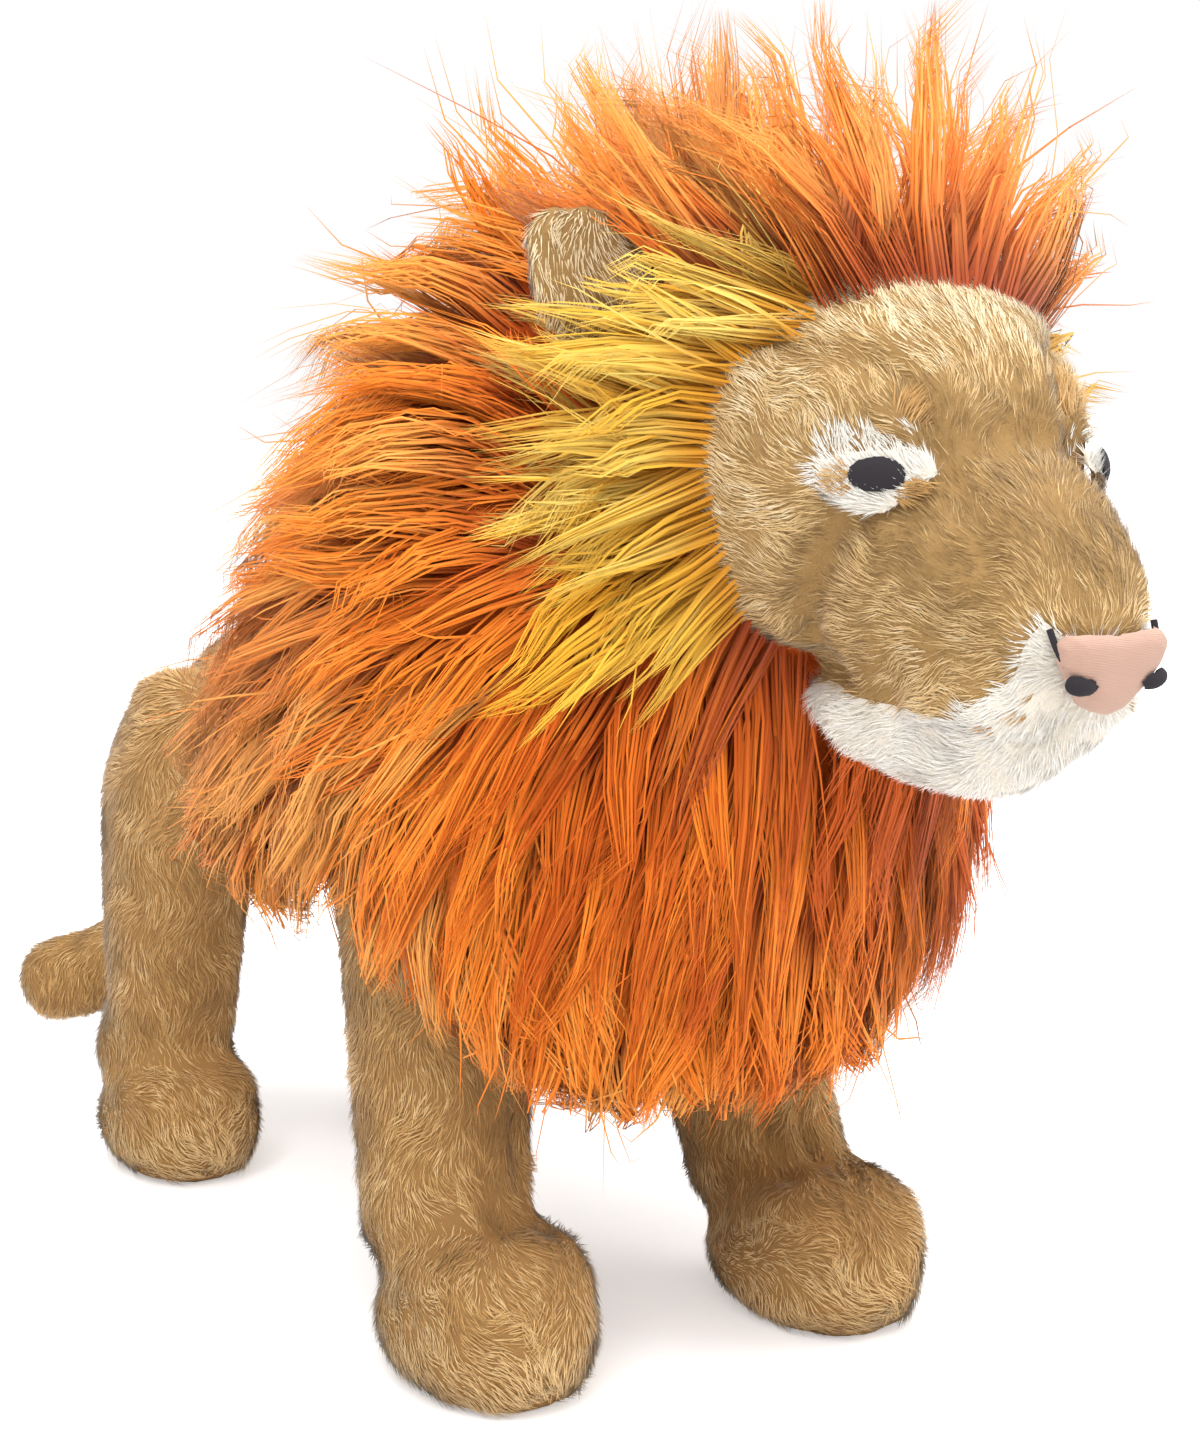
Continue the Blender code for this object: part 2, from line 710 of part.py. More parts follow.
def ear_pocket(base, sign):
    """Return the space in the mane that the ear folds in."""
    length, width, facing = ear_axes(sign)
    half_width = HALF_SHARE * EAR_WIDTH + EAR_POCKET_CLEAR
    spread = math.radians(EAR_FOLD_DEG)
    clear = HALF_SHARE * EAR_THICKNESS + EAR_POCKET_CLEAR
    back = length * math.cos(spread) - facing * math.sin(spread)
    front = length * math.cos(spread) + facing * math.sin(spread)
    lift_back = back.cross(width).normalized()
    if lift_back.dot(facing) > 0.0:
        lift_back = -lift_back
    lift_front = front.cross(width).normalized()
    if lift_front.dot(facing) < 0.0:
        lift_front = -lift_front
    sink = base - length * EAR_THICKNESS
    outline = [sink - facing * clear,
               base + lift_back * clear,
               base + back * EAR_POCKET_REACH + lift_back * clear,
               base + length * EAR_POCKET_REACH,
               base + front * EAR_POCKET_REACH + lift_front * clear,
               base + lift_front * clear,
               sink + facing * clear]
    rings = [[point - width * half_width for point in outline],
             [point + width * half_width for point in outline]]
    verts, faces = close_rings(rings)
    return add_mesh("ear_pocket", verts, faces)


def leg_rows(table, foot, top, width, depth):
    """Return loft rows of a leg that runs up from the ankle to the body.

    Each row gives the rise, width, front and rear half sizes and the
    share of the way from the ankle to the upper leg across the floor.
    """
    rows = []
    for along, wide, front, rear, way in table:
        centre = foot.lerp(top, along)
        flat = foot.lerp(top, way)
        rows.append((flat.x, flat.y, centre.z, HALF_SHARE * width * wide,
                     HALF_SHARE * depth * front, HALF_SHARE * depth * rear))
    return rows


def paw_centre(sign, fore):
    """Return the ground centre of a paw."""
    reach = -HALF_SHARE * STANCE_LENGTH if fore else HALF_SHARE * STANCE_LENGTH
    if fore and sign > 0.0:
        reach -= LEFT_STEP
    return Vector((sign * HALF_SHARE * STANCE_WIDTH, reach, 0.0))


def foreleg_form(sign, grow=0.0):
    """Return one foreleg from shoulder to ankle."""
    foot = paw_centre(sign, True)
    foot += Vector((0.0, PAW_LENGTH * HEEL_SHARE, PAW_HEIGHT - ANKLE_DIP))
    top = Vector((sign * HALF_SHARE * FORELEG_SPREAD, FORELEG_Y, FORELEG_TOP))
    if sign > 0.0:
        top.y += LEFT_LEG_BACK
    rows = leg_rows(FORELEG_ROW_SHARES, foot, top, FORELEG_WIDTH, FORELEG_DEPTH)
    return loft("foreleg_form", smooth_rows(rows, 2), LIMB_SEGMENTS,
                ANKLE_DIP, TORSO_DOME, grow, 2.1)


def hindleg_form(sign, grow=0.0):
    """Return one hind leg with its broad thigh."""
    foot = paw_centre(sign, False)
    foot += Vector((0.0, HIND_PAW_LENGTH * HEEL_SHARE, HIND_PAW_HEIGHT - ANKLE_DIP))
    top = Vector((sign * HALF_SHARE * HINDLEG_SPREAD, HINDLEG_Y, HINDLEG_TOP))
    rows = leg_rows(HINDLEG_ROW_SHARES, foot, top, HINDLEG_WIDTH, THIGH_DEPTH)
    return loft("hindleg_form", smooth_rows(rows, 2), LIMB_SEGMENTS,
                ANKLE_DIP, TORSO_DOME, grow, 2.1)


def paw_form(sign, fore, grow=0.0):
    """Return one paw that swells toward the toes."""
    ground = paw_centre(sign, fore)
    width = PAW_WIDTH if fore else HIND_PAW_WIDTH
    length = PAW_LENGTH if fore else HIND_PAW_LENGTH
    height = PAW_HEIGHT if fore else HIND_PAW_HEIGHT
    dome = height * HALF_SHARE * HALF_SHARE
    span = length - 2.0 * dome
    rows = []
    for along, wide, upper, lower, rise in PAW_ROW_SHARES:
        rows.append((ground.x, ground.y + span * (HALF_SHARE - along),
                     HALF_SHARE * height * (1.0 + rise),
                     HALF_SHARE * width * wide,
                     HALF_SHARE * height * upper, HALF_SHARE * height * lower))
    return loft("paw_form", smooth_rows(rows, 2), LIMB_SEGMENTS,
                dome, dome, grow, 2.9)


def sole_form(sign, fore):
    """Return one flat sole panel with a rounded edge."""
    ground = paw_centre(sign, fore)
    width = PAW_WIDTH if fore else HIND_PAW_WIDTH
    length = PAW_LENGTH if fore else HIND_PAW_LENGTH
    half_side = HALF_SHARE * width - SOLE_EDGE
    half_long = HALF_SHARE * length - SOLE_EDGE
    levels = ((SOLE_BEVEL, 0.0), (0.0, SOLE_BEVEL),
              (0.0, SOLE_THICKNESS - SOLE_BEVEL), (SOLE_BEVEL, SOLE_THICKNESS))
    rings = []
    for inset, height in levels:
        centre = Vector((ground.x, ground.y, height))
        rings.append(oval_ring(centre, Vector((1.0, 0.0, 0.0)),
                               Vector((0.0, -1.0, 0.0)), half_side - inset,
                               half_long - inset, half_long - inset,
                               BODY_SEGMENTS, 2.3))
    verts, faces = close_rings(rings)
    return add_mesh("sole_form", verts, faces)


def tail_root():
    """Return the place where the tail is sewn to the rump."""
    return Vector((0.0, RUMP_Y + TORSO_DOME + TAIL_RADIUS * TAIL_OUT_SHARE,
                   TAIL_ROOT_HEIGHT))


def tail_form(grow=0.0):
    """Return the hanging tail with its blunt, swung end."""
    root = tail_root()
    rows = []
    for back, swing, drop, thick in TAIL_ROW_SHARES:
        rows.append((root.x - TAIL_SWING * swing, root.y + TAIL_BACK * back,
                     root.z + TAIL_DROP * drop, TAIL_RADIUS * thick,
                     TAIL_RADIUS * thick, TAIL_RADIUS * thick))
    return loft("tail_form", smooth_rows(rows, 3), SMALL_SEGMENTS,
                rows[0][3], TAIL_DOME, grow)


def tail_socket():
    """Return the round seat in the rump that the tail's root turns in."""
    radius = TAIL_RADIUS * TAIL_ROW_SHARES[0][3] + SOCKET_CLEAR
    axes = (Vector((1.0, 0.0, 0.0)), Vector((0.0, 1.0, 0.0)),
            Vector((0.0, 0.0, 1.0)))
    return oval_solid("tail_socket", tail_root(), axes, (radius, radius, radius),
                      BODY_SEGMENTS)


def mane_form():
    """Return the whole mane as a ridged collar that ends in pointed locks."""
    count = MANE_LOCKS * LOCK_SEGMENTS
    rings = []
    rows = list(MANE_ROW_SHARES)
    last = len(rows) - 1
    for index, row in enumerate(rows):
        along, wide, upper, lower, lean, rise, ridge, shift = row
        centre = Vector((0.0, MANE_FRONT_Y + MANE_LENGTH * along,
                         MANE_AXIS_HEIGHT + MANE_HEIGHT * rise))
        up = Vector((0.0, math.sin(lean), math.cos(lean)))
        ahead = Vector((0.0, math.cos(lean), -math.sin(lean)))
        ring = []
        for step in range(count):
            angle = FULL_TURN * step / count
            wave = abs(((step / LOCK_SEGMENTS + shift) % 1.0) * 2.0 - 1.0)
            depth = MANE_LOCK_DEPTH * ridge * (1.0 - wave)
            cosine = math.cos(angle)
            sine = math.sin(angle)
            half_up = HALF_SHARE * MANE_HEIGHT * (upper if sine > 0.0 else lower)
            taper = MANE_TOP_TAPER_SHARE * max(sine, 0.0) * (1.0 - along)
            half_side = HALF_SHARE * MANE_WIDTH * wide * (1.0 - taper)
            point = centre + Vector((cosine * (half_side - depth), 0.0, 0.0))
            point += up * (sine * (half_up - depth))
            point.y += MANE_SIDE_BACK * (1.0 - along) * cosine * cosine
            if index == last:
                point += ahead * (MANE_TIP_LENGTH * wave * MANE_TIP_ROW_SHARE)
            if point.z < MANE_FLOOR:
                point.z = MANE_FLOOR - (MANE_FLOOR - point.z) * MANE_TIP_RISE_SHARE
            ring.append(point)
        rings.append(ring)
    verts, faces = close_rings(rings)
    return add_mesh("mane_form", verts, faces)


def mane_panel(whole, name, removals):
    """Return a copy of the mane cut by half spaces."""
    item = whole.copy()
    item.data = whole.data.copy()
    bpy.context.scene.collection.objects.link(item)
    item.name = name
    for point, normal in removals:
        trim(item, point, normal)
    return item


def wedge(degrees, sign, height, keep_beyond):
    """Return the half space that bounds a mane panel by an angle.

    The angle turns from straight up toward one side about a line that
    runs along the lion at the given height.
    """
    angle = math.radians(degrees)
    normal = Vector((sign * math.cos(angle), 0.0, -math.sin(angle)))
    if keep_beyond:
        normal = -normal
    point = Vector((0.0, 0.0, height)) - normal * (HALF_SHARE * PANEL_GAP)
    return point, normal


def build_mane(torso_root, head_root, ear_bases):
    """Build the mane panels on the head and on the torso."""
    whole = mane_form()
    cutters = [torso_form(SEAM_GAP), neck_form(SEAM_GAP), head_form(SEAM_GAP),
               muzzle_form(SEAM_GAP), chin_form(SEAM_GAP)]
    for sign in (-1.0, 1.0):
        cutters.append(foreleg_form(sign, SEAM_GAP))
        cutters.append(ear_pocket(ear_bases[sign], sign))
    combine(whole, cutters)
    above = (NECK_POINT + NECK_AXIS * (HALF_SHARE * TURN_GAP), -NECK_AXIS)
    below = (NECK_POINT - NECK_AXIS * (HALF_SHARE * TURN_GAP), NECK_AXIS)
    slab_y = MANE_FRONT_Y + RUFF_DEPTH
    ahead = (Vector((0.0, slab_y - HALF_SHARE * PANEL_GAP, 0.0)), Vector((0.0, 1.0, 0.0)))
    behind = (Vector((0.0, slab_y + HALF_SHARE * PANEL_GAP, 0.0)), Vector((0.0, -1.0, 0.0)))
    high = MANE_AXIS_HEIGHT
    low = TORSO_AXIS_HEIGHT + BIB_AXIS_RISE

    crest = mane_panel(whole, "crest", [
        above, wedge(CREST_HALF_DEG, 1.0, high, False),
        wedge(CREST_HALF_DEG, -1.0, high, False)])
    finish_piece(crest, "mane_crest", "orange_pile", head_root)
    throat = mane_panel(whole, "throat", [
        above, ahead, wedge(RUFF_LOW_DEG, 1.0, high, True),
        wedge(RUFF_LOW_DEG, -1.0, high, True)])
    finish_piece(throat, "mane_throat", "orange_pile", head_root)
    nape = mane_panel(whole, "nape", [
        below, wedge(NAPE_HALF_DEG, 1.0, low, False),
        wedge(NAPE_HALF_DEG, -1.0, low, False)])
    finish_piece(nape, "mane_nape", "orange_pile", torso_root)
    bib = mane_panel(whole, "bib", [
        below, wedge(180.0 - BIB_HALF_DEG, 1.0, low, True),
        wedge(180.0 - BIB_HALF_DEG, -1.0, low, True)])
    finish_piece(bib, "mane_bib", "orange_pile", torso_root)
    for side, sign in (("right", -1.0), ("left", 1.0)):
        ruff = mane_panel(whole, "ruff", [
            above, ahead, wedge(CREST_HALF_DEG, sign, high, True),
            wedge(RUFF_LOW_DEG, sign, high, False)])
        finish_piece(ruff, "cheek_ruff_" + side, "yellow_pile", head_root)
        flank = mane_panel(whole, "flank", [
            above, behind, wedge(CREST_HALF_DEG, sign, high, True),
            wedge(180.0, sign, high, False)])
        finish_piece(flank, "mane_side_" + side, "orange_pile", head_root)
        shoulder = mane_panel(whole, "shoulder", [
            below, wedge(NAPE_HALF_DEG, sign, low, True),
            wedge(180.0 - BIB_HALF_DEG, sign, low, False)])
        finish_piece(shoulder, "mane_shoulder_" + side, "orange_pile", torso_root)
    bpy.data.objects.remove(whole, do_unlink=True)


def build_head(head_root):
    """Build the face with its muzzle, lips, chin, nose, eyes and ears."""
    head = head_form()
    ear_bases = {sign: ear_base(head, sign) for sign in (-1.0, 1.0)}
    combine(head, [ear_groove(base, sign) for sign, base in ear_bases.items()])
    trim(head, NECK_POINT + NECK_AXIS * (HALF_SHARE * TURN_GAP), -NECK_AXIS)
    finish_piece(head, "head", "face_pile", head_root)
    muzzle = combine(muzzle_form(), [head_form(SEAM_GAP)])
    finish_piece(muzzle, "muzzle", "face_pile", head_root)
    middle = Vector((0.0, 0.0, 0.0))
    for side, sign in (("right", -1.0), ("left", 1.0)):
        across = Vector((-sign, 0.0, 0.0))
        lip = trim(lip_form(sign), middle - across * (HALF_SHARE * SEAM_GAP), across)
        combine(lip, [head_form(SEAM_GAP), muzzle_form(SEAM_GAP)])
        finish_piece(lip, "upper_lip_" + side, "white_pile", head_root)
    chin = trim(chin_form(), NECK_POINT + NECK_AXIS * (HALF_SHARE * TURN_GAP),
                -NECK_AXIS)
    combine(chin, [
        head_form(SEAM_GAP), muzzle_form(SEAM_GAP),
        lip_form(-1.0, SEAM_GAP), lip_form(1.0, SEAM_GAP)])
    finish_piece(chin, "chin", "white_pile", head_root)
    nose = combine(nose_form(), [
        muzzle_form(SEAM_GAP), lip_form(-1.0, SEAM_GAP), lip_form(1.0, SEAM_GAP)])
    finish_piece(nose, "nose", "nose_cloth", head_root)
    for side, sign in (("right", -1.0), ("left", 1.0)):
        seat = front_point((nose,), sign * NOSTRIL_OUT, NOSE_Z - NOSTRIL_DROP)
        nostril = combine(nostril_form(seat), [
            nose_form(SEAM_GAP), muzzle_form(SEAM_GAP), lip_form(sign, SEAM_GAP)])
        finish_piece(nostril, "nostril_" + side, "black_thread", head_root)
        place = front_point((head, muzzle), sign * EYE_OUT, EYE_Z)
        patch = combine(
            eye_solid("patch", place, sign, PATCH_WIDTH, PATCH_DEPTH, PATCH_HEIGHT),
            [head_form(SEAM_GAP), muzzle_form(SEAM_GAP)])
        finish_piece(patch, "eye_patch_" + side, "white_pile", head_root)
        _, outward, _ = eye_axes(sign)
        eye = combine(
            eye_solid("eye", place + outward * EYE_RAISE, sign,
                      EYE_WIDTH, EYE_DEPTH, EYE_HEIGHT),
            [eye_solid("patch_cut", place, sign, PATCH_WIDTH, PATCH_DEPTH,
                       PATCH_HEIGHT, SEAM_GAP)])
        finish_piece(eye, "eye_" + side, "black_thread", head_root)
        base = ear_bases[sign]
        ear_root = add_empty("ear_" + side + "_pivot", base, head_root)
        finish_piece(ear_form(base, sign), "ear_" + side, "face_pile", ear_root)
    return ear_bases


def build_legs(torso_root):
    """Build the four legs with their paws and soles."""
    for side, sign in (("right", -1.0), ("left", 1.0)):
        for fore in (True, False):
            leg_form = foreleg_form if fore else hindleg_form
            prefix = "fore" if fore else "hind"
            leg = combine(leg_form(sign), [torso_form(SEAM_GAP)])
            finish_piece(leg, prefix + "leg_" + side, "body_pile", torso_root)
            floor = Vector((0.0, 0.0, SOLE_TOP))
            paw = trim(paw_form(sign, fore), floor, Vector((0.0, 0.0, -1.0)))
            combine(paw, [leg_form(sign, SEAM_GAP)])
            finish_piece(paw, prefix + "_paw_" + side, "body_pile", torso_root)
            sole = sole_form(sign, fore)
            finish_piece(sole, prefix + "_sole_" + side, "sole_pile", torso_root, False)


def build_lion():
    """Build every piece and centre the lion on its footprint."""
    clear_scene()
    root = add_empty("lion", Vector())
    torso_root = add_empty("torso_frame", Vector(), root)
    head_root = add_empty("head_pivot", NECK_POINT, torso_root)
    torso = combine(torso_form(), [tail_socket()])
    finish_piece(torso, "torso", "body_pile", torso_root)
    neck = trim(neck_form(), NECK_POINT - NECK_AXIS * (HALF_SHARE * TURN_GAP),
                NECK_AXIS)
    combine(neck, [torso_form(SEAM_GAP)])
    finish_piece(neck, "neck", "body_pile", torso_root)
    tail_pivot = add_empty("tail_pivot", tail_root(), torso_root)
    finish_piece(tail_form(), "tail", "body_pile", tail_pivot)
    build_legs(torso_root)
    ear_bases = build_head(head_root)
    build_mane(torso_root, head_root, ear_bases)
    bpy.context.view_layer.update()
    corners = [item.matrix_world @ vertex.co
               for item in bpy.context.scene.objects if item.type == "MESH"
               for vertex in item.data.vertices]
    low_y = min(point.y for point in corners)
    high_y = max(point.y for point in corners)
    root.location.y -= HALF_SHARE * (low_y + high_y)
    bpy.context.view_layer.update()
    print("footprint shift", root.location.y)


build_lion()
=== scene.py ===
"""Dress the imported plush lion: stuffed covers, short pile, long mane, face, studio and camera."""
import logging
import math
from dataclasses import dataclass, field
from enum import Enum

import bpy
import numpy as np
from mathutils import Euler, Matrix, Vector
from mathutils.bvhtree import BVHTree
from mathutils.kdtree import KDTree


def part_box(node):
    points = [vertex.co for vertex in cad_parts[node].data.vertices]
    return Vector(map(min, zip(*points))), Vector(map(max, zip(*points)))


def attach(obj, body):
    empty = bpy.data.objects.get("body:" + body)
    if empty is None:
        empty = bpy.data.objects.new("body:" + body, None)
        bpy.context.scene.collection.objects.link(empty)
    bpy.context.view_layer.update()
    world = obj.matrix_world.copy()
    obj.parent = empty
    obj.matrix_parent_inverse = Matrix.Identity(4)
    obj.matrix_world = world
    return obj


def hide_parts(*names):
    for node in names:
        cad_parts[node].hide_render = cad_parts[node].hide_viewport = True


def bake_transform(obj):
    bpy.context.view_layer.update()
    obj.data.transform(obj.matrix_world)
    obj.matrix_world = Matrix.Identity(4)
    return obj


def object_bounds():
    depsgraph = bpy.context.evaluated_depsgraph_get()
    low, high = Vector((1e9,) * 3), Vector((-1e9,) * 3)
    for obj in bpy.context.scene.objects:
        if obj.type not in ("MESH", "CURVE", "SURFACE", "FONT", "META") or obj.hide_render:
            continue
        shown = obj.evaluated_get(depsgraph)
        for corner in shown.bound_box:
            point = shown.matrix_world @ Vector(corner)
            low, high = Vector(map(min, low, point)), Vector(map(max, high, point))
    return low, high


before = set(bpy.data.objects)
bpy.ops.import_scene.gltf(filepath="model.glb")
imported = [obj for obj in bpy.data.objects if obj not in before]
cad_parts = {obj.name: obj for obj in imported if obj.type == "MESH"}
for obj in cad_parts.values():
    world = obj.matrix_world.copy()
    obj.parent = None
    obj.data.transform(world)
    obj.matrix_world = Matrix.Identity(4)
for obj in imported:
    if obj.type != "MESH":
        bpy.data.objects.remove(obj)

Colour = tuple[float, float, float]
Point = tuple[float, float, float]
Span = tuple[float, float]
Ears = tuple[tuple[Point, Point], ...]
Item = bpy.types.Object
Tree = bpy.types.NodeTree
Socket = bpy.types.NodeSocket

LOG = logging.getLogger("plush_lion")
CAD_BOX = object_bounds()
SIDES = ("right", "left")
# How far pile keeps off the floor, and a length beyond the whole lion.
FLOOR_GAP = 0.0004
FAR = 1.0
TINY = 1e-6
# The chart holds each fibre's tone across and its height along.
CHART = "OFBake"
CHART_MARGIN = 0.01
# The length of hair that frizz and waves are given for.
HAIR_LENGTH = 0.062
DOWNWARD = (0.0, 0.1, -1.0)
# Places on the face; the eye's is the left one, all others are on the right side.
NOSE_PLACE = (0.0, -0.285, 0.215)
EYE_PLACE = (0.0330, -0.2300, 0.2566)
EYE_ACROSS = (0.615, -0.788)
EYE_RING_WIDTH = 0.0122
EYE_RING_HEIGHTS = (0.0074, 0.0084)
EYE_CORNERS = ((-0.0380, -0.2280, 0.2548), (-0.0286, -0.2386, 0.2522))
BROW_TUFT_PLACE = (-0.0235, -0.2335, 0.2690)
FRECKLE_PLACES = ((-0.0209, -0.2637, 0.2052), (-0.0142, -0.2680, 0.2059),
                  (-0.0157, -0.2666, 0.2018), (-0.0169, -0.2625, 0.1987),
                  (-0.0190, -0.2663, 0.2093), (-0.0232, -0.2590, 0.2015),
                  (-0.0120, -0.2690, 0.2000))
# The white lip's upper edge: the distance before the origin, and the height.
LIP_EDGE = ((0.150, 0.2035), (0.1976, 0.2040), (0.2212, 0.2026), (0.2505, 0.2024),
            (0.2582, 0.2081), (0.2626, 0.2128), (0.2648, 0.2172), (0.2688, 0.2255),
            (0.2712, 0.2225), (0.2750, 0.2190), (0.3200, 0.2185))
# The seam between face and ruff: the height, and the place along the lion.
RUFF_SEAM = ((0.2050, -0.1850), (0.2138, -0.1874), (0.2293, -0.1938), (0.2432, -0.1920),
             (0.2569, -0.1902), (0.2707, -0.1920), (0.2844, -0.1995), (0.2934, -0.2028))
# Where a ruff starts beside the lion's middle, and between which heights it grows.
RUFF_INNER = 0.022
RUFF_HEIGHTS = (0.200, 0.2960)
# The least height of the crest's roots, and their places along the lion.
CREST_HEIGHT = 0.284
CREST_REACH = (-0.2115, -0.130)


class Body(Enum):
    """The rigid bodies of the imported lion."""

    TORSO = "torso"
    HEAD = "head"
    TAIL = "tail"
    EAR_RIGHT = "ear_right"
    EAR_LEFT = "ear_left"


class Zone(Enum):
    """The part of a cover that one pile grows on."""

    ALL = "all"
    TAN_FACE = "tan face"
    WHITE_LIP = "white lip"
    EYE_RING = "eye ring"
    BROW_TUFT = "brow tuft"
    FRECKLES = "freckles"
    EYE_CORNERS = "eye corners"


class Lay(Enum):
    """The way a pile is brushed."""

    DOWN = "down"
    FROM_NOSE = "from nose"
    TOES = "toes"
    FROM_EYE = "from eye"


def unit(vectors: np.ndarray) -> np.ndarray:
    """Return vectors scaled to length one, their components along the last axis."""
    length = np.linalg.norm(vectors, axis=-1, keepdims=True)
    return vectors / np.maximum(length, 1e-9)


def smooth_step(values: np.ndarray, low: float, high: float) -> np.ndarray:
    """Return an ease from 0 at low to 1 at high."""
    share = np.clip((values - low) / (high - low), 0.0, 1.0)
    return share * share * (3.0 - 2.0 * share)


@dataclass(frozen=True)
class SoftNoise:
    """A smooth noise made of a few crossed waves, with the same result each run."""

    seed: int
    grain: float
    waves: int = 9

    def at(self, points: np.ndarray) -> np.ndarray:
        """Return values from about -1 to 1.

        Args:
            points: Places in metres, one row each.

        Returns:
            One value for each place.
        """
        rng = np.random.default_rng(self.seed)
        ways = unit(rng.normal(size=(self.waves, 3)))
        pitch = rng.uniform(0.6, 1.6, self.waves) * 2.0 * math.pi / self.grain
        phase = rng.uniform(0.0, 2.0 * math.pi, self.waves)
        total = np.sin((points @ ways.T) * pitch + phase).sum(axis=1)
        return total / math.sqrt(self.waves)


def feed(tree: Tree, node: bpy.types.Node, inputs: dict[str | int, object]) -> None:
    """Set or link the inputs of a node.

    Args:
        tree: The node's tree.
        node: The node.
        inputs: A value or another node's output for each input's name or number.
    """
    for name, value in inputs.items():
        if isinstance(value, Socket):
            tree.links.new(value, node.inputs[name])
        else:
            node.inputs[name].default_value = value


def add(tree: Tree, kind: str, inputs: dict[str | int, object] | None = None,
        **settings: object) -> bpy.types.Node:
    """Add a shader node.

    Args:
        tree: The tree that takes the node.
        kind: The node's type, without its first word.
        inputs: A value or another node's output for each input's name or number.
        **settings: The node's own settings.

    Returns:
        The new node.
    """
    node = tree.nodes.new("ShaderNode" + kind)
    for name, value in settings.items():
        setattr(node, name, value)
    feed(tree, node, inputs or {})
    return node


def counted(tree: Tree, operation: str, *values: float | Socket) -> Socket:
    """Return the result of one sum on values or sockets."""
    return add(tree, "Math", dict(enumerate(values)), operation=operation).outputs[0]


def eased(tree: Tree, value: Socket, low: float, high: float) -> Socket:
    """Return an ease from 0 where the value is low to 1 where it is high."""
    return add(tree, "MapRange", {"Value": value, "From Min": low, "From Max": high},
               interpolation_type="SMOOTHSTEP").outputs[0]


def mixed(tree: Tree, share: Socket, first: object, second: object) -> Socket:
    """Return a mix of two colours or colour sockets, with the second one's share."""
    return add(tree, "Mix", {0: share, 6: first, 7: second}, data_type="RGBA").outputs[2]


def raised(tree: Tree, height: Socket, strength: float, distance: float) -> Socket:
    """Return the shading normal of a surface that a height raises."""
    return add(tree, "Bump", {"Height": height, "Strength": strength,
                              "Distance": distance}).outputs["Normal"]


def rgba(colour: Colour) -> tuple[float, ...]:
    """Return a colour with full opacity."""
    return (*colour, 1.0)


class NodeGroups:
    """The node groups that several materials share."""

    def __init__(self) -> None:
        """Build both groups once."""
        self.fibre = self._fibre_colour()
        self.nap = self._nap()

    @staticmethod
    def _group(name: str, inputs: dict[str, str]) -> Tree:
        """Start a group that makes a colour and a height.

        Args:
            name: The group's name.
            inputs: The input names with their kinds of socket.

        Returns:
            The group, with its input and output nodes.
        """
        group = bpy.data.node_groups.new(name, "ShaderNodeTree")
        for way, sockets in (("INPUT", inputs), ("OUTPUT", {"Color": "Color",
                                                            "Height": "Float"})):
            for socket, kind in sockets.items():
                group.interface.new_socket(socket, in_out=way, socket_type="NodeSocket" + kind)
        for kind in ("NodeGroupInput", "NodeGroupOutput"):
            group.nodes.new(kind)
        return group

    def _fibre_colour(self) -> Tree:
        """Return the group that colours a fibre from its tone and the place along it."""
        group = self._group("Fibre colour", {
            "Tone": "Float", "Along": "Float", "Streak": "Float", "Deep": "Color",
            "Middle": "Color", "Bright": "Color", "Root shade": "Color"})
        given, made = group.nodes[0].outputs, group.nodes[1]
        across = counted(group, "MULTIPLY", given["Tone"], 330.0)
        along = counted(group, "MULTIPLY", given["Along"], 2.4)
        grain = add(group, "CombineXYZ", {"X": across, "Y": along})
        streak = add(group, "TexNoise", {"Vector": grain.outputs[0], "Scale": 1.0,
                                         "Detail": 3.0}).outputs["Fac"]
        tone = counted(group, "MULTIPLY_ADD", counted(group, "SUBTRACT", streak, 0.5),
                       given["Streak"], given["Tone"])
        colour = mixed(group, eased(group, tone, 0.0, 0.5), given["Deep"], given["Middle"])
        colour = mixed(group, eased(group, tone, 0.5, 1.0), colour, given["Bright"])
        # Painted shade: the fibres darken to their root colour towards the root.
        colour = mixed(group, eased(group, given["Along"], 0.0, 0.55), given["Root shade"], colour)
        feed(group, made, {"Color": colour, "Height": streak})
        return group

    def _nap(self) -> Tree:
        """Return the group that mottles a cloth and raises its nap."""
        group = self._group("Nap", {"Vector": "Vector", "Scale": "Float", "Dark": "Color",
                                    "Light": "Color"})
        given, made = group.nodes[0].outputs, group.nodes[1]
        coarse, fine = (add(group, "TexNoise", {"Vector": given["Vector"], "Scale": scale,
                                                "Detail": detail}).outputs["Fac"]
                        for scale, detail in ((given["Scale"], 5.0), (1400.0, 2.0)))
        spread = add(group, "MapRange", {"Value": coarse, "From Min": 0.30, "From Max": 0.70})
        feed(group, made, {
            "Color": mixed(group, spread.outputs[0], given["Dark"], given["Light"]),
            "Height": counted(group, "ADD", coarse, fine)})
        return group


GROUPS = NodeGroups()


def material_named(name: str) -> tuple[bpy.types.Material, bool]:
    """Return a material, made at its first use.

    Args:
        name: The material's name.

    Returns:
        The material, and whether it is new and still has to be given its look.
    """
    material = bpy.data.materials.get(name)
    fresh = material is None
    if fresh:
        material = bpy.data.materials.new(name)
        material.use_nodes = True
    return material, fresh


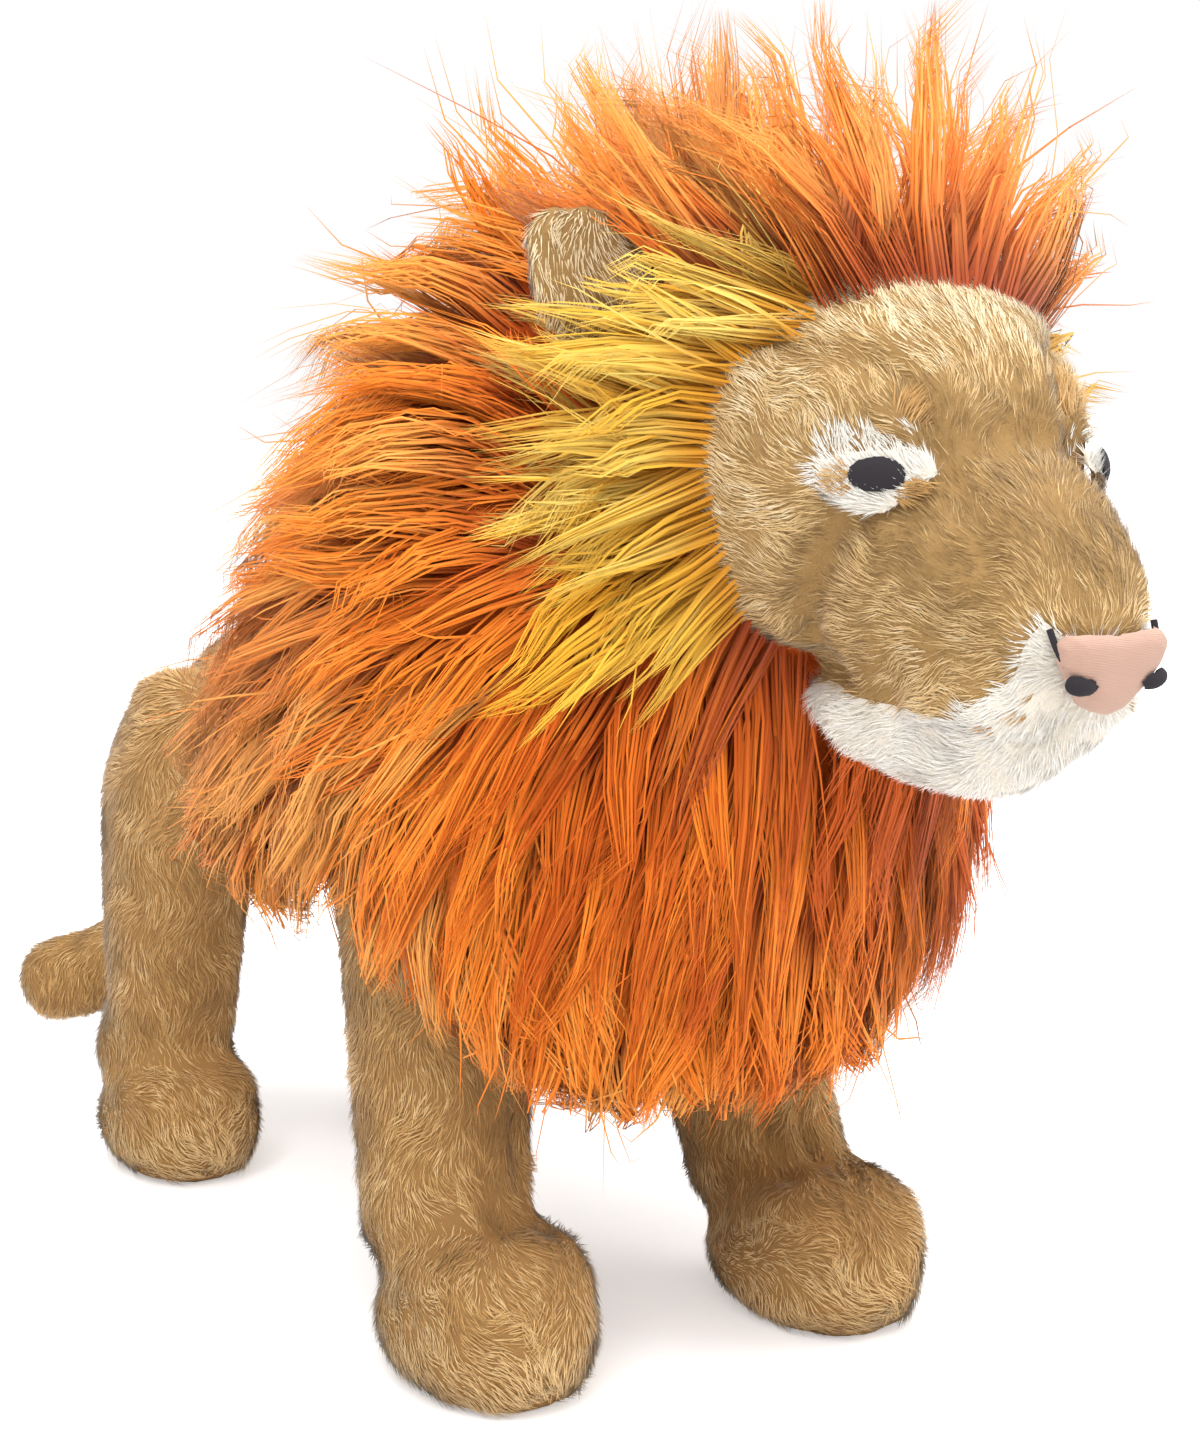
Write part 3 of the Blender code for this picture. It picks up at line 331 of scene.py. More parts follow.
@dataclass(frozen=True)
class PileFinish:
    """The colours of one pile's fibres, from shade to light, with painted shade at their roots, and
    its gloss.
    """

    name: str
    slot: str
    deep: Colour
    middle: Colour
    bright: Colour
    # Painted shade at the fibres' roots, also used for the cloth under them.
    root: Colour
    roughness: float = 0.62
    sheen: float = 0.30
    streak: float = 0.0

    def fibre(self) -> bpy.types.Material:
        """Return the material of the fibres."""
        material, fresh = material_named(self.name + "_fibre")
        if not fresh:
            return material
        tree = material.node_tree
        chart = add(tree, "UVMap", uv_map=CHART)
        place = add(tree, "SeparateXYZ", {0: chart.outputs["UV"]}).outputs
        group = add(tree, "Group", node_tree=GROUPS.fibre)
        feed(tree, group, {
            "Tone": place["X"], "Along": place["Y"], "Streak": self.streak,
            "Deep": rgba(self.deep), "Middle": rgba(self.middle),
            "Bright": rgba(self.bright), "Root shade": rgba(self.root)})
        look = {"Base Color": group.outputs["Color"], "Roughness": self.roughness,
                "Sheen Weight": self.sheen, "Sheen Roughness": 0.5,
                "Specular IOR Level": 0.08}
        if self.streak:
            look["Normal"] = raised(tree, group.outputs["Height"], 0.35, 0.0005)
        feed(tree, tree.nodes["Principled BSDF"], look)
        return material

    def cloth(self) -> bpy.types.Material:
        """Return the material of the cover under the fibres."""
        material, fresh = material_named(self.name + "_cloth")
        if not fresh:
            return material
        tree = material.node_tree
        place = add(tree, "TexCoord").outputs["Object"]
        # The cloth takes the painted root shade and a mix of it with the deep colour, so it shows
        # as shade under the fibres.
        shade = tuple(0.5 * (a + b) for a, b in zip(self.root, self.deep))
        group = add(tree, "Group", node_tree=GROUPS.nap)
        feed(tree, group, {"Vector": place, "Scale": 220.0, "Dark": rgba(self.root),
                           "Light": rgba(shade)})
        feed(tree, tree.nodes["Principled BSDF"], {
            "Base Color": group.outputs["Color"], "Roughness": 0.95,
            "Specular IOR Level": 0.1,
            "Normal": raised(tree, group.outputs["Height"], 0.6, 0.0006)})
        return material


# The fourth colour of each finish is its root colour: painted shade at the fibres' roots and on the
# cloth under them.
TAN = PileFinish("tan_pile", "body_pile", (0.360, 0.195, 0.066), (0.605, 0.346, 0.124),
                 (0.870, 0.595, 0.285), (0.330, 0.180, 0.065))
FACE = PileFinish("face_pile", "face_pile", (0.270, 0.155, 0.055), (0.770, 0.520, 0.238),
                  (0.970, 0.820, 0.550), (0.370, 0.225, 0.088))
WHITE = PileFinish("white_pile", "white_pile", (0.800, 0.735, 0.630),
                   (0.930, 0.895, 0.820), (0.980, 0.970, 0.940), (0.740, 0.675, 0.570))
ORANGE = PileFinish("orange_hair", "orange_pile", (0.600, 0.100, 0.006),
                    (1.000, 0.255, 0.022), (1.000, 0.415, 0.084), (0.360, 0.052, 0.004),
                    0.55, 0.12, 0.35)
YELLOW = PileFinish("yellow_hair", "yellow_pile", (0.860, 0.385, 0.026),
                    (1.000, 0.560, 0.056), (1.000, 0.740, 0.180), (0.680, 0.280, 0.020),
                    0.55, 0.12, 0.30)
SOLE = PileFinish("sole_pile", "sole_pile", (0.560, 0.350, 0.150), (0.820, 0.570, 0.290),
                  (0.950, 0.750, 0.450), (0.420, 0.260, 0.110))


@dataclass(frozen=True)
class ThreadFinish:
    """Close satin stitches of one thread."""

    name: str
    slot: str
    colour: Colour
    light: Colour
    pitch: float
    roughness: float = 0.35

    def material(self) -> bpy.types.Material:
        """Return the thread's material."""
        material, fresh = material_named(self.name)
        if not fresh:
            return material
        tree = material.node_tree
        place = add(tree, "TexCoord").outputs["Object"]
        stitch = add(tree, "TexWave", {"Vector": place, "Scale": 0.314 / self.pitch,
                                       "Distortion": 1.5, "Detail Scale": 2.0},
                     bands_direction="Z").outputs["Fac"]
        feed(tree, tree.nodes["Principled BSDF"], {
            "Base Color": mixed(tree, stitch, rgba(self.colour), rgba(self.light)),
            "Roughness": self.roughness, "Sheen Weight": 0.2,
            "Normal": raised(tree, stitch, 0.5, 0.0002)})
        return material


BLACK_THREAD = ThreadFinish("black_thread", "black_thread", (0.010, 0.009, 0.012),
                            (0.040, 0.036, 0.042), 0.0005)
NOSE_KNIT = ThreadFinish("nose_knit", "nose_cloth", (0.500, 0.300, 0.225),
                         (0.550, 0.345, 0.260), 0.00035, 0.8)


def clear_selection() -> None:
    """Leave edit mode and deselect everything."""
    if bpy.context.object and bpy.context.object.mode != "OBJECT":
        bpy.ops.object.mode_set(mode="OBJECT")
    bpy.ops.object.select_all(action="DESELECT")


def only(item: Item) -> None:
    """Select one object and make it active."""
    clear_selection()
    item.select_set(True)
    bpy.context.view_layer.objects.active = item


def apply(item: Item, kind: str, **values: object) -> None:
    """Add a modifier, set it and apply it.

    Args:
        item: The object to change.
        kind: The modifier's type.
        **values: The modifier's settings.
    """
    only(item)
    bpy.ops.object.modifier_add(type=kind)
    modifier = item.modifiers[-1]
    for name, value in values.items():
        setattr(modifier, name, value)
    bpy.ops.object.modifier_apply(modifier=modifier.name)


def rounded(item: Item, voxel: float, softness: float, turns: int,
            inset: float = 0.0) -> None:
    """Remesh an object evenly, round it and shrink it.

    Args:
        item: The object.
        voxel: The size of the new faces.
        softness: How much one turn of smoothing does, from 0 to 1.
        turns: The number of turns.
        inset: How far the surface then moves inward.
    """
    apply(item, "REMESH", mode="VOXEL", voxel_size=voxel)
    apply(item, "SMOOTH", factor=softness, iterations=turns)
    if inset:
        apply(item, "DISPLACE", strength=-inset, mid_level=0.0)


def smooth(item: Item) -> None:
    """Shade an object smoothly."""
    only(item)
    bpy.ops.object.shade_smooth()


def dress(item: Item, material: bpy.types.Material) -> None:
    """Give an object its only material.

    Args:
        item: The object.
        material: The material.
    """
    item.data.materials.clear()
    item.data.materials.append(material)
    LOG.info("%s: %d faces", item.name, len(item.data.polygons))


def linked(name: str, data: bpy.types.Mesh) -> Item:
    """Return a new object of the scene that shows a mesh."""
    item = bpy.data.objects.new(name, data)
    bpy.context.scene.collection.objects.link(item)
    return item


def joined(nodes: tuple[str, ...], name: str) -> Item:
    """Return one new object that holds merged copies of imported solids.

    Args:
        nodes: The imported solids' names.
        name: The new object's name.

    Returns:
        The new object, selected and active.
    """
    copies = [linked(name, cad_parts[node].data.copy()) for node in nodes]
    clear_selection()
    for copy in copies:
        copy.select_set(True)
    bpy.context.view_layer.objects.active = copies[0]
    if len(copies) > 1:
        bpy.ops.object.join()
    item = bpy.context.view_layer.objects.active
    item.name = item.data.name = name
    bpy.ops.object.mode_set(mode="EDIT")
    bpy.ops.mesh.select_all(action="SELECT")
    bpy.ops.mesh.remove_doubles(threshold=0.00001)
    bpy.ops.object.mode_set(mode="OBJECT")
    item.data.materials.clear()
    return item


def rows(values: bpy.types.bpy_prop_collection, name: str, kind: type) -> np.ndarray:
    """Return a property of three numbers for each part of a mesh.

    Args:
        values: The mesh's parts.
        name: The property's name.
        kind: The numbers' type.

    Returns:
        One row for each part.
    """
    found = np.empty(len(values) * 3, kind)
    values.foreach_get(name, found)
    return found.reshape(-1, 3)


def coordinates(item: Item) -> np.ndarray:
    """Return the places of an object's vertices."""
    return rows(item.data.vertices, "co", np.float32).astype(float)


def set_coordinates(item: Item, places: np.ndarray) -> None:
    """Move an object's vertices to new places."""
    item.data.vertices.foreach_set("co", places.astype(np.float32).ravel())
    item.data.update()


def vertex_normals(item: Item) -> np.ndarray:
    """Return the normals at an object's vertices."""
    return rows(item.data.vertex_normals, "vector", np.float32).astype(float)


def triangles(item: Item) -> np.ndarray:
    """Return the vertex numbers of an object's triangles."""
    item.data.calc_loop_triangles()
    return rows(item.data.loop_triangles, "vertices", np.int32)


def tree_of(item: Item) -> BVHTree:
    """Return a search tree of an object's faces."""
    return BVHTree.FromPolygons(coordinates(item).tolist(),
                                [tuple(face.vertices) for face in item.data.polygons])


def over(shape: BVHTree, places: np.ndarray) -> tuple[np.ndarray, np.ndarray]:
    """Return how far places stand out of a closed shape.

    Args:
        shape: The shape's faces.
        places: The places to measure.

    Returns:
        One distance for each place, negative inside, and the shape's nearest normals.
    """
    gaps, normals = np.zeros(len(places)), np.zeros((len(places), 3))
    for index, place in enumerate(places):
        near, normal, _, _ = shape.find_nearest(Vector(place))
        gaps[index], normals[index] = (Vector(place) - near).dot(normal), normal
    return gaps, normals


def from_line(places: np.ndarray, low: Point, high: Point, start: float = 0.0,
              end: float = 1.0) -> np.ndarray:
    """Return how places lie from a straight line.

    Args:
        places: The places to measure.
        low: The line's first end.
        high: The line's second end.
        start: The share of the line at which it starts to count.
        end: The share of the line at which it ends, over 1 to lengthen it.

    Returns:
        The way to each place from the line's nearest point.
    """
    run = np.array(high) - np.array(low)
    share = np.clip(((places - low) @ run) / (run @ run), start, end)
    return places - low - share[:, None] * run


def with_neck(item: Item) -> None:
    """Bake the transform of a piece that crosses the neck into its mesh."""
    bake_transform(item)


def facing(place: Point, aim: Point) -> Euler:
    """Return the turn of a lamp or camera that looks from a place at another."""
    return (Vector(aim) - Vector(place)).to_track_quat("-Z", "Y").to_euler()


@dataclass(frozen=True)
class Seam:
    """A sewn line that draws a cover in, the same on both sides of the lion."""

    points: tuple[Point, ...]
    depth: float = 0.0022
    width: float = 0.0032
    puff: float = 0.0008

    def gap(self, places: np.ndarray, sign: float) -> np.ndarray:
        """Return how far places lie from the seam on one side of the lion.

        Args:
            places: The places to measure.
            sign: 1 for the seam on the lion's right, -1 for its mirror image.

        Returns:
            One distance for each place.
        """
        line = np.array(self.points) * np.array([sign, 1.0, 1.0])
        gap = np.full(len(places), FAR)
        for low, high in zip(line[:-1], line[1:]):
            gap = np.minimum(gap, np.linalg.norm(from_line(places, low, high), axis=1))
        return gap

    def shade(self, places: np.ndarray) -> np.ndarray:
        """Return how deep each place lies in the seam's fold, from 0 to 1."""
        gap = np.minimum(self.gap(places, 1.0), self.gap(places, -1.0))
        return np.exp(-(gap / (1.3 * self.width)) ** 2)

    def pull_in(self, places: np.ndarray, normals: np.ndarray) -> np.ndarray:
        """Return the places drawn in along the seam and puffed beside it.

        Args:
            places: The cover's vertices.
            normals: The cover's normals.

        Returns:
            The moved vertices.
        """
        for sign in (1.0, -1.0):
            gap = self.gap(places, sign)
            move = -self.depth * np.exp(-(gap / self.width) ** 2)
            move += self.puff * np.exp(-((gap - 2.6 * self.width) / (1.5 * self.width)) ** 2)
            places = places + normals * move[:, None]
        return places


BROW_SEAM = Seam(((-0.0378, -0.1996, 0.2843), (-0.0329, -0.2158, 0.2819),
                  (-0.0263, -0.2237, 0.2798), (-0.0222, -0.2274, 0.2780),
                  (-0.0203, -0.2324, 0.2715)), 0.0026)
CHEEK_SEAM = Seam(((-0.0350, -0.2260, 0.2445), (-0.0344, -0.2225, 0.2404),
                   (-0.0343, -0.2170, 0.2331), (-0.0326, -0.2110, 0.2256),
                   (-0.0283, -0.2042, 0.2176)), 0.0024)
BRIDGE_SEAM = Seam(((-0.0190, -0.2360, 0.2680), (-0.0200, -0.2385, 0.2600),
                    (-0.0190, -0.2413, 0.2565), (-0.0208, -0.2492, 0.2505),
                    (-0.0221, -0.2544, 0.2445), (-0.0225, -0.2585, 0.2384)), 0.0022)
LIP_SEAM = Seam(((-0.0271, -0.2177, 0.1947), (-0.0238, -0.2320, 0.1942),
                 (-0.0228, -0.2484, 0.1954), (-0.0178, -0.2594, 0.1966),
                 (-0.0091, -0.2624, 0.1973)), 0.0012)
FORELEG_SEAMS = (
    Seam(((-0.0515, -0.0895, 0.1000), (-0.0520, -0.0922, 0.0722), (-0.0521, -0.0942, 0.0521),
          (-0.0526, -0.0985, 0.0457)), 0.0026, 0.0034),
    Seam(((-0.0398, -0.0885, 0.0800), (-0.0407, -0.0912, 0.0597), (-0.0421, -0.0943, 0.0513),
          (-0.0411, -0.1019, 0.0449)), 0.0026, 0.0034))


@dataclass
class StuffedCover:
    """A sewn cover, filled until it is round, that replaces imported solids."""

    name: str
    nodes: tuple[str, ...]
    body: Body
    finish: PileFinish
    voxel: float = 0.0028
    rounding: int = 5
    inset: float = 0.0024
    fill: float = 0.8
    seams: tuple[Seam, ...] = ()
    paws: tuple[str, ...] = ()
    paw_heights: Span = (0.0060, 0.0240)
    paw_growth: float = 1.75
    item: Item = field(default=None, init=False)

    def settle(self, paw: str) -> None:
        """Let one paw spread to the floor round its sole.

        Args:
            paw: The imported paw's name.
        """
        low, high = self.paw_heights
        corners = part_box(paw)
        middle = np.array((corners[0] + corners[1]) / 2.0)
        half = np.array((corners[1] - corners[0]) / 2.0)
        places = coordinates(self.item)
        away = places[:, :2] - middle[:2]
        reach = np.linalg.norm(away / half[:2], axis=1)
        own = (reach < 1.5) & (places[:, 2] < high)
        share = np.clip((high - places[:, 2]) / (high - low), 0.0, 1.0)
        wanted = (1.0 - share ** 5) ** 0.4 * 0.97
        grow = np.clip(wanted / np.maximum(reach, 0.05), 1.0, self.paw_growth)
        spread = 1.0 + (grow - 1.0) * smooth_step(share, 0.0, 0.25) * own
        places[:, :2] = middle[:2] + away * spread[:, None]
        stretch = (high - FLOOR_GAP * 2.0) / (high - places[own, 2].min())
        places[:, 2] = np.where(own, high - (high - places[:, 2]) * stretch, places[:, 2])
        set_coordinates(self.item, places)

    def build(self) -> Item:
        """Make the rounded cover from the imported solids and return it."""
        self.item = joined(self.nodes, self.name)
        rounded(self.item, self.voxel, 0.6, self.rounding, self.inset)
        for paw in self.paws:
            self.settle(paw)
        if self.paws:
            apply(self.item, "SMOOTH", factor=0.5, iterations=3)
        for seam in self.seams:
            set_coordinates(self.item, seam.pull_in(coordinates(self.item),
                                                    vertex_normals(self.item)))
        smooth(self.item)
        return self.item

    def dress(self) -> None:
        """Give the cover its cloth and hand it to its body."""
        dress(self.item, self.finish.cloth())
        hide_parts(*self.nodes)
        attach(self.item, self.body.value)


@dataclass
class HeadSkin:
    """The sewn skin of the whole head, split along the edge of the white lip."""

    face: StuffedCover
    jaw: StuffedCover
    voxel: float = 0.0020
    rounding: int = 7
    inset: float = 0.0020
    seams: tuple[Seam, ...] = (BROW_SEAM, CHEEK_SEAM, BRIDGE_SEAM, LIP_SEAM)
    ground: Item = field(default=None, init=False)

    def build(self) -> "HeadSkin":
        """Make the skin and split it into the tan face and the white jaw."""
        whole = StuffedCover("head_skin", self.face.nodes + self.jaw.nodes, Body.HEAD, FACE,
                             self.voxel, self.rounding, self.inset, seams=self.seams)
        self.ground = whole.build()
        for cover, operation in ((self.face, "DIFFERENCE"), (self.jaw, "INTERSECT")):
            cover.item = linked(cover.name, self.ground.data.copy())
            cover.item.data.name = cover.name
            block = self.block()
            apply(cover.item, "BOOLEAN", operation=operation, object=block, solver="EXACT")
            bpy.data.objects.remove(block)
        return self

    def block(self) -> Item:
        """Return a closed block that holds everything below the lip's edge."""
        clear_selection()
        bpy.ops.mesh.primitive_grid_add(x_subdivisions=len(LIP_EDGE) - 1, y_subdivisions=1,
                                        size=1.0)
        item = bpy.context.object
        places = coordinates(item)
        column = np.rint((places[:, 0] + 0.5) * (len(LIP_EDGE) - 1)).astype(int)
        edge = np.array(LIP_EDGE)[column]
        places = np.stack([places[:, 1] * 0.14, -edge[:, 0], edge[:, 1]], 1)
        set_coordinates(item, places)
        bpy.ops.object.mode_set(mode="EDIT")
        bpy.ops.mesh.select_all(action="SELECT")
        bpy.ops.mesh.extrude_region_move(TRANSFORM_OT_translate={"value": (0.0, 0.0, -0.1)})
        bpy.ops.mesh.select_all(action="SELECT")
        bpy.ops.mesh.normals_make_consistent(inside=False)
        bpy.ops.object.mode_set(mode="OBJECT")
        return item


@dataclass
class Roots:
    """Places on a cover where fibres start, with the cover's normals."""

    places: np.ndarray
    normals: np.ndarray

    @classmethod
    def scattered(cls, item: Item, spacing: float, rng: np.random.Generator) -> "Roots":
        """Scatter roots evenly over a mesh.

        Args:
            item: The mesh object.
            spacing: The mean distance between roots in metres.
            rng: The source of chance.

        Returns:
            The roots.
        """
        corners = triangles(item)
        places, normals = coordinates(item), vertex_normals(item)
        a, b, c = (places[corners[:, k]] for k in range(3))
        area = 0.5 * np.linalg.norm(np.cross(b - a, c - a), axis=1)
        wanted = int(area.sum() / spacing ** 2)
        ends = np.cumsum(area) / area.sum()
        picks = np.searchsorted(ends, (np.arange(wanted) + rng.random(wanted)) / wanted)
        picks = np.minimum(picks, len(corners) - 1)
        u, v = rng.random(wanted), rng.random(wanted)
        flip = u + v > 1.0
        u[flip], v[flip] = 1.0 - u[flip], 1.0 - v[flip]
        w = 1.0 - u - v
        share = np.stack([w, u, v], axis=1)
        spots = np.einsum("ij,ijk->ik", share, places[corners[picks]])
        ways = unit(np.einsum("ij,ijk->ik", share, normals[corners[picks]]))
        return cls(spots, ways)

    def kept(self, mask: np.ndarray) -> "Roots":
        """Return the roots where the mask is true."""
        return Roots(self.places[mask], self.normals[mask])

    def clear_of(self, walls: BVHTree, reach: float) -> "Roots":
        """Return the roots with free space over them.

        Args:
            walls: The surfaces that may cover a root.
            reach: How far above a root the space must be free.

        Returns:
            The roots that stay.
        """
        free = np.ones(len(self.places), bool)
        for index, (place, normal) in enumerate(zip(self.places, self.normals)):
            start = place + normal * 0.0002
            found = walls.ray_cast(Vector(start), Vector(normal), reach)[0]
            free[index] = found is None
        return self.kept(free)

    def outside(self, shape: BVHTree, slack: float) -> "Roots":
        """Return the roots that lie outside a closed shape.

        Args:
            shape: The closed shape.
            slack: How deep inside it a root may still be.

        Returns:
            The roots that stay.
        """
        return self.kept(over(shape, self.places)[0] > -slack)


class FibreForm:
    """One tapering three-sided fibre, modelled once and laid along every hair."""

    def __init__(self, cuts: tuple[float, ...]) -> None:
        """Model the fibre.

        Args:
            cuts: The heights, from 0 to 1, of the rings between root and tip.
        """
        clear_selection()
        bpy.ops.mesh.primitive_cone_add(vertices=3, radius1=1.0, radius2=0.0, depth=1.0,
                                        location=(0.0, 0.0, 0.5))
        item = bpy.context.object
        bpy.ops.object.transform_apply(location=True, rotation=True, scale=True)
        bpy.ops.object.mode_set(mode="EDIT")
        for cut in cuts:
            bpy.ops.mesh.select_all(action="SELECT")
            bpy.ops.mesh.bisect(plane_co=(0.0, 0.0, cut), plane_no=(0.0, 0.0, 1.0))
        bpy.ops.object.mode_set(mode="OBJECT")
        places = coordinates(item)
        self.heights = places[:, 2]
        across = places[:, :2]
        size = np.linalg.norm(across, axis=1, keepdims=True)
        self.across = np.where(size > TINY, across / np.maximum(size, TINY), 0.0)
        self.corners = triangles(item)
        bpy.data.objects.remove(item)


SHORT_FIBRE = FibreForm(())
LONG_FIBRE = FibreForm((0.26, 0.52, 0.77))


@dataclass
class Hairs:
    """Hairs as bent centre lines, each with its width and tone."""

    roots: np.ndarray
    normals: np.ndarray
    start: np.ndarray
    bend: np.ndarray
    length: np.ndarray
    width: np.ndarray
    tone: np.ndarray
    pull: np.ndarray | None = None
    frizz: np.ndarray | None = None
    wave: np.ndarray | None = None
    streak: float = 0.008

    def centre(self, height: float) -> np.ndarray:
        """Return the places of the centre lines at one height.

        Args:
            height: The share of the hair's length, from 0 at the root to 1 at the tip.

        Returns:
            One place for each hair.
        """
        run = self.start * height + self.bend * height ** 2
        place = self.roots + run * self.length[:, None]
        if self.pull is not None:
            place = place + self.pull * height ** 1.5
        if self.frizz is not None:
            sway = height ** 2 * (1.6 - height) * self.length / HAIR_LENGTH
            place = place + self.frizz * sway[:, None]
        if self.wave is not None:
            swing = height * np.sin(2.0 * np.pi * height) * self.length / HAIR_LENGTH
            place = place + self.wave * swing[:, None]
        return place

    def mesh(self, name: str, form: FibreForm, taper: float, flat: float,
             softness: float) -> Item:
        """Lay the fibre form along every hair.

        Args:
            name: The new object's name.
            form: The modelled fibre.
            taper: The power of the taper towards the tip.
            flat: The fibre's thickness as a share of its width.
            softness: How far the shading follows the cover under the hair, 0 to 1.

        Returns:
            The new object.
        """
        count, size = len(self.roots), len(form.heights)
        places = np.empty((count, size, 3))
        shading = np.empty((count, size, 3))
        side, step = None, 0.04
        for height in np.unique(form.heights):
            low, high = max(0.0, height - step), min(1.0, height + step)
            along = unit(self.centre(high) - self.centre(low))
            if side is None:
                side = unit(np.cross(along, self.normals))
            side = unit(side - along * np.sum(side * along, axis=1, keepdims=True))
            up = np.cross(along, side)
            radius = 0.5 * self.width * max(0.0, 1.0 - height ** taper)
            middle = self.centre(height)
            for index in np.nonzero(form.heights == height)[0]:
                x, y = form.across[index]
                away = side * x + up * y
                places[:, index] = middle + (side * x + up * (y * flat)) * radius[:, None]
                shading[:, index] = unit(self.normals * softness + away * (1.0 - softness))
        places[:, :, 2] = np.maximum(places[:, :, 2], FLOOR_GAP)
        corners = form.corners[None] + (np.arange(count) * size)[:, None, None]
        corners = corners.reshape(-1).astype(np.int32)
        data = bpy.data.meshes.new(name)
        data.vertices.add(count * size)
        data.vertices.foreach_set("co", places.astype(np.float32).ravel())
        data.loops.add(len(corners))
        data.loops.foreach_set("vertex_index", corners)
        faces = len(corners) // 3
        data.polygons.add(faces)
        data.polygons.foreach_set("loop_start", np.arange(0, faces * 3, 3, dtype=np.int32))
        data.polygons.foreach_set("use_smooth", np.ones(faces, bool))
        data.update(calc_edges=True)
        tone = self.tone[:, None] + self.streak * form.across[None, :, 0]
        along = np.broadcast_to(form.heights, (count, size))
        place = np.stack([np.clip(tone, CHART_MARGIN, 1.0 - CHART_MARGIN),
                          CHART_MARGIN + (1.0 - 2.0 * CHART_MARGIN) * along], axis=2)
        chart = data.uv_layers.new(name=CHART)
        chart.data.foreach_set("uv", place.reshape(-1, 2)[corners].astype(np.float32).ravel())
        data.normals_split_custom_set_from_vertices(shading.reshape(-1, 3))
        return linked(name, data)


def in_ruff(places: np.ndarray, margin: float = 0.0) -> np.ndarray:
    """Return which places lie under a cheek ruff.

    Args:
        places: The places to test.
        margin: How far behind its seam a ruff starts.

    Returns:
        For each place -1 under the right ruff, 1 under the left one and 0 elsewhere.
    """
    x, y, z = places.T
    seam = np.interp(z, *np.array(RUFF_SEAM).T)
    under = (y > seam + margin) & (np.abs(x) > RUFF_INNER)
    under &= (z > RUFF_HEIGHTS[0]) & (z < RUFF_HEIGHTS[1])
    return np.where(under, np.sign(x), 0.0)


def ear_gap(places: np.ndarray, ears: Ears, start: float, ahead: float) -> np.ndarray:
    """Return how far places lie from the nearer ear or from the space before it.

    Args:
        places: The places to measure.
        ears: The inner and outer end of each ear's middle line.
        start: The share of the line, from its inner end, that doesn't count.
        ahead: How much of the distance forward and outward from the ear is forgiven.

    Returns:
        One distance for each place.
    """
    gap = np.full(len(places), FAR)
    for low, high in ears:
        away = from_line(places, low, high, start, 1.1)
        front = unit(np.array([0.55 * np.sign(high[0]), -1.0, 0.10]))
        away = away - front * (ahead * np.maximum(away @ front, 0.0))[:, None]
        gap = np.minimum(gap, np.linalg.norm(away, axis=1))
    return gap


def in_crest(places: np.ndarray) -> np.ndarray:
    """Return true for places on top of the head, behind the hairline."""
    x, y, z = places.T
    hairline = CREST_REACH[0] + 0.25 * np.maximum(np.abs(x) - 0.020, 0.0)
    return (z > CREST_HEIGHT) & (y > hairline) & (y < CREST_REACH[1])


def eye_share(places: np.ndarray) -> np.ndarray:
    """Return how far places lie from the middle of their eye.

    Args:
        places: The places to measure.

    Returns:
        One distance for each place, which is 1 at the edge of the eye's white ring.
    """
    flat = np.stack([-np.abs(places[:, 0]), places[:, 1]], 1)
    run = (flat - np.array([-EYE_PLACE[0], EYE_PLACE[1]])) @ np.array(EYE_ACROSS)
    rise = places[:, 2] - EYE_PLACE[2]
    wobble = 1.0 + 0.16 * SoftNoise(77, 0.005).at(places)
    lower, upper = EYE_RING_HEIGHTS
    depth = np.where(rise > 0.0, upper, lower - 0.10 * run)
    share = (np.abs((run + 0.0006) / EYE_RING_WIDTH) ** 2.2
             + np.abs(rise / depth) ** 2.2) ** 0.45
    near = (places[:, 1] < -0.205) & (np.abs(places[:, 0]) > 0.012)
    return np.where(near, share * wobble, 9.0)


def near_spots(places: np.ndarray, spots: tuple[Point, ...], reach: float) -> np.ndarray:
    """Return true for places close to a spot or its mirror image.

    Args:
        places: The places to test.
        spots: The spots on the lion's right side.
        reach: The size of a spot in the lion's length and height.

    Returns:
        One truth value for each place.
    """
    found = np.zeros(len(places), bool)
    for x, y, z in spots:
        level = np.hypot(places[:, 1] - y, places[:, 2] - z) < reach
        found |= level & (np.abs(np.abs(places[:, 0]) + x) < 0.007)
    return found


@dataclass(frozen=True)
class PileForm:
    """The spacing of a short pile and the size and lift of its fibres."""

    spacing: float = 0.00106
    length: float = 0.0060
    width: float = 0.00054
    lift: float = 0.62


BODY_PILE = PileForm()
FACE_PILE = PileForm(0.00082, 0.0052, 0.00042, 0.55)
LIP_PILE = PileForm(0.00074, 0.0046, 0.00042, 0.62)
FRECKLE_PILE = PileForm(0.00060, 0.0040, 0.00046, 0.60)
EYE_RING_PILE = PileForm(0.00066, 0.0042, 0.00040, 0.90)
EYE_PATCH_PILE = PileForm(0.00060, 0.0042, 0.00040, 1.0)
EYE_CORNER_PILE = PileForm(0.00044, 0.0046, 0.00050, 1.1)
BROW_TUFT_PILE = PileForm(0.00070, 0.0075, 0.00046, 0.75)
EAR_PILE = PileForm(0.00100, 0.0045, 0.00050)


